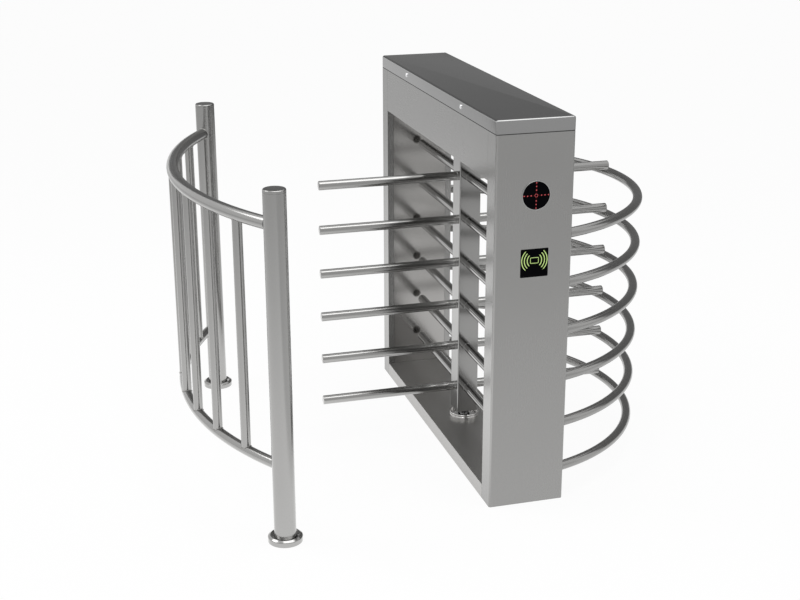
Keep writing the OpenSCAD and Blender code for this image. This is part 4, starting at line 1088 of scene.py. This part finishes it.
# %% Floor
FLOOR_RINGS = (0.01, 2.0, 6.0, 30.0)
FLOOR_SIDES = 64
FLOOR_DROP = 0.0005
bearing = full_turn(FLOOR_SIDES)
floor_z = np.full(FLOOR_SIDES, -FLOOR_DROP)
floor_points = np.stack([
    np.stack([r * np.cos(bearing), r * np.sin(bearing), floor_z], 1) for r in FLOOR_RINGS
])
quads = skin(floor_points)[0]
floor_mesh = bpy.data.meshes.new("studio_floor")
floor_mesh.from_pydata(floor_points.reshape(-1, 3).tolist(), [], quads.tolist())
put("studio_floor", floor_mesh)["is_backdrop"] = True
print("floor of", len(quads), "faces out to", FLOOR_RINGS[-1], "m")

# %% [markdown]
# A white floor under a lamp would clip, or turn grey with the distance. So most of it glows by itself,
# plain white to the camera, and a share stays paper and keeps the object's shadow. What gloss sees of
# it falls off with the distance, as a studio's floor does away from the lamps.

# %% Pale paper
PAPER_SHARE = 0.10
PAPER_WHITE = 1.03
PAPER_LOW, PAPER_HIGH = (0.86,) * 3, (0.9,) * 3
GLOSS_START, GLOSS_REACH = 0.5, 5.0
GLOSS_NEAR, GLOSS_FAR = 1.05, 0.72
LEFT_SIDE, LEFT_FULL = -0.1, -0.5
LEFT_START, LEFT_REACH = 1.2, 6.0
LEFT_NEAR, LEFT_FAR = 0.44, 0.08
WHITE = (1, 1, 1, 1)
DIRECT_RAYS = ("Is Camera Ray", "Is Glossy Ray", "Is Transmission Ray")


def seen_by(tree, *kinds):
    """One where a ray of one of the named kinds looks, and zero elsewhere."""
    path = wire(tree, "ShaderNodeLightPath").outputs
    total = path[kinds[0]]
    for kind in kinds[1:]:
        most = wire(tree, "ShaderNodeMath", links={0: total, 1: path[kind]}, operation="MAXIMUM")
        total = most.outputs[0]
    return total


def floor_paper():
    """Pale paper. It keeps the shadow at a share, and the rest is a glow: plain white to the camera,
    and to gloss a white that falls off with the distance from the object and is brighter on its
    left."""
    material, tree, shader = empty_material("pale_paper")
    place, _, paper = two_tones(tree, PAPER_LOW, PAPER_HIGH, {"Scale": 3.0})
    feed(tree, shader, {"Roughness": 0.9, "Specular IOR Level": 0.1}, {"Base Color": paper})
    distance = wire(tree, "ShaderNodeVectorMath", links={0: place}, operation="LENGTH").outputs["Value"]
    aside = wire(tree, "ShaderNodeSeparateXYZ", links={0: place}).outputs["X"]
    fall = wire(
        tree, "ShaderNodeMapRange",
        {"From Min": GLOSS_START, "From Max": GLOSS_REACH, "To Min": GLOSS_NEAR, "To Max": GLOSS_FAR},
        {"Value": distance},
    )
    left = wire(tree, "ShaderNodeMapRange", {"From Min": LEFT_SIDE, "From Max": LEFT_FULL},
                {"Value": aside})
    gain = wire(
        tree, "ShaderNodeMapRange",
        {"From Min": LEFT_START, "From Max": LEFT_REACH, "To Min": LEFT_NEAR, "To Max": LEFT_FAR},
        {"Value": distance},
    )
    gloss = wire(tree, "ShaderNodeMath", operation="MULTIPLY_ADD",
                 links={0: left.outputs[0], 1: gain.outputs[0], 2: fall.outputs[0]})
    level = wire(tree, "ShaderNodeMix", {3: PAPER_WHITE},
                 {0: seen_by(tree, "Is Camera Ray"), 2: gloss.outputs[0]})
    glow = wire(tree, "ShaderNodeEmission", {"Color": WHITE}, {"Strength": level.outputs[0]})
    share = wire(tree, "ShaderNodeMath", {1: 1 - PAPER_SHARE}, {0: seen_by(tree, *DIRECT_RAYS)},
                 operation="MULTIPLY")
    mixed = wire(tree, "ShaderNodeMixShader",
                 links={0: share.outputs[0], 1: shader.outputs[0], 2: glow.outputs[0]})
    feed(tree, tree.nodes["Material Output"], links={"Surface": mixed.outputs[0]})
    return material


floor_mesh.materials.append(floor_paper())

# %% [markdown]
# Metal shows what stands round it, so the light is a studio's. The air is white to the camera and to
# gloss, and gives a soft light to everything else. One wide lamp hangs above the front, and a smaller
# one at the far left draws the bright line along the guard's rails. One bright sun would be simpler,
# but it would draw hard shadows and leave no such lines.

# %% Air and lamps
def studio_air(diffuse_light):
    """White to camera, gloss and glass, and a plain soft light to everything else."""
    world = bpy.data.worlds.new("studio_air")
    world.use_nodes = True
    tree = world.node_tree
    soft = feed(tree, tree.nodes["Background"], {"Color": WHITE, "Strength": diffuse_light})
    white = wire(tree, "ShaderNodeBackground", {"Color": WHITE, "Strength": 1.0})
    mixed = wire(tree, "ShaderNodeMixShader",
                 links={0: seen_by(tree, *DIRECT_RAYS), 1: soft.outputs[0], 2: white.outputs[0]})
    feed(tree, tree.nodes["World Output"], links={"Surface": mixed.outputs[0]})
    bpy.context.scene.world = world


studio_air(diffuse_light=0.5)


def softbox(name, place, aim, size, radiance):
    """A rectangular lamp that faces a point. Its power is the wanted brightness times pi times its
    area."""
    light = bpy.data.lights.new(name, "AREA")
    light.shape = "RECTANGLE"
    light.size, light.size_y = size
    light.energy = radiance * math.pi * size[0] * size[1]
    lamp = put(name, light)
    lamp.location = place
    lamp.rotation_mode = "QUATERNION"
    lamp.rotation_quaternion = (Vector(place) - Vector(aim)).to_track_quat("Z", "Y")
    print(name, "at", place, "with", round(light.energy, 1), "W")


softbox("lamp_above", (0.0, -0.9, 4.2), aim=(0.0, -0.5, 0.5), size=(3.0, 2.4), radiance=2.2)
softbox("lamp_far_left", (-3.6, 1.0, 4.3), aim=(-1.0, -0.2, 1.0), size=(2.0, 1.8), radiance=3.4)

# %% [markdown]
# Round steel gets its form from a dark band along its upper edge, and in a studio that band is a dark
# cloth behind the object. These cloths stand on arcs round it, and only gloss sees them, so they
# neither show in the picture nor dim the light.

# %% Cloths
CLOTH_STEPS = 25


def hang(name, points, quads, tone):
    """A plain sheet that shines at a tone and that only gloss sees."""
    mesh = bpy.data.meshes.new(name)
    mesh.from_pydata(points.reshape(-1, 3).tolist(), [], quads.tolist())
    material, tree, _ = empty_material(name)
    glow = wire(tree, "ShaderNodeEmission", {"Color": (tone, tone, tone, 1), "Strength": 1.0})
    feed(tree, tree.nodes["Material Output"], links={"Surface": glow.outputs[0]})
    mesh.materials.append(material)
    sheet = put(name, mesh)
    sheet.visible_camera = sheet.visible_diffuse = False
    sheet.visible_shadow = sheet.visible_transmission = False
    sheet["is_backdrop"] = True


def cloth(name, distance, start, end, low, high, tone):
    """A cloth on an arc round the object, from one bearing to another, in degrees from +Y to +X."""
    turn = np.radians(np.linspace(start, end, CLOTH_STEPS))
    x, y = distance * np.sin(turn), distance * np.cos(turn)
    rows = [np.stack([x, y, np.full(CLOTH_STEPS, z)], 1) for z in (low, high)]
    foot = np.arange(CLOTH_STEPS - 1)
    head = foot + CLOTH_STEPS
    hang(name, np.stack(rows), np.stack([foot, foot + 1, head + 1, head], 1), tone)
    print(name, "over", end - start, "degrees at", distance, "m")


cloth("cloth_far", 5.2, start=-6, end=102, low=0.0, high=5.0, tone=0.22)
cloth("cloth_far_left", 5.2, start=-30, end=-6, low=1.6, high=5.0, tone=0.22)
cloth("cloth_near", 7.0, start=122, end=250, low=0.0, high=7.0, tone=0.76)

# %% [markdown]
# Last, the sizes of the dressed model are printed, so that it can be held against the solids.

# %% Finish
low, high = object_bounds()
print("visual box", [round(v, 4) for v in low], [round(v, 4) for v in high])
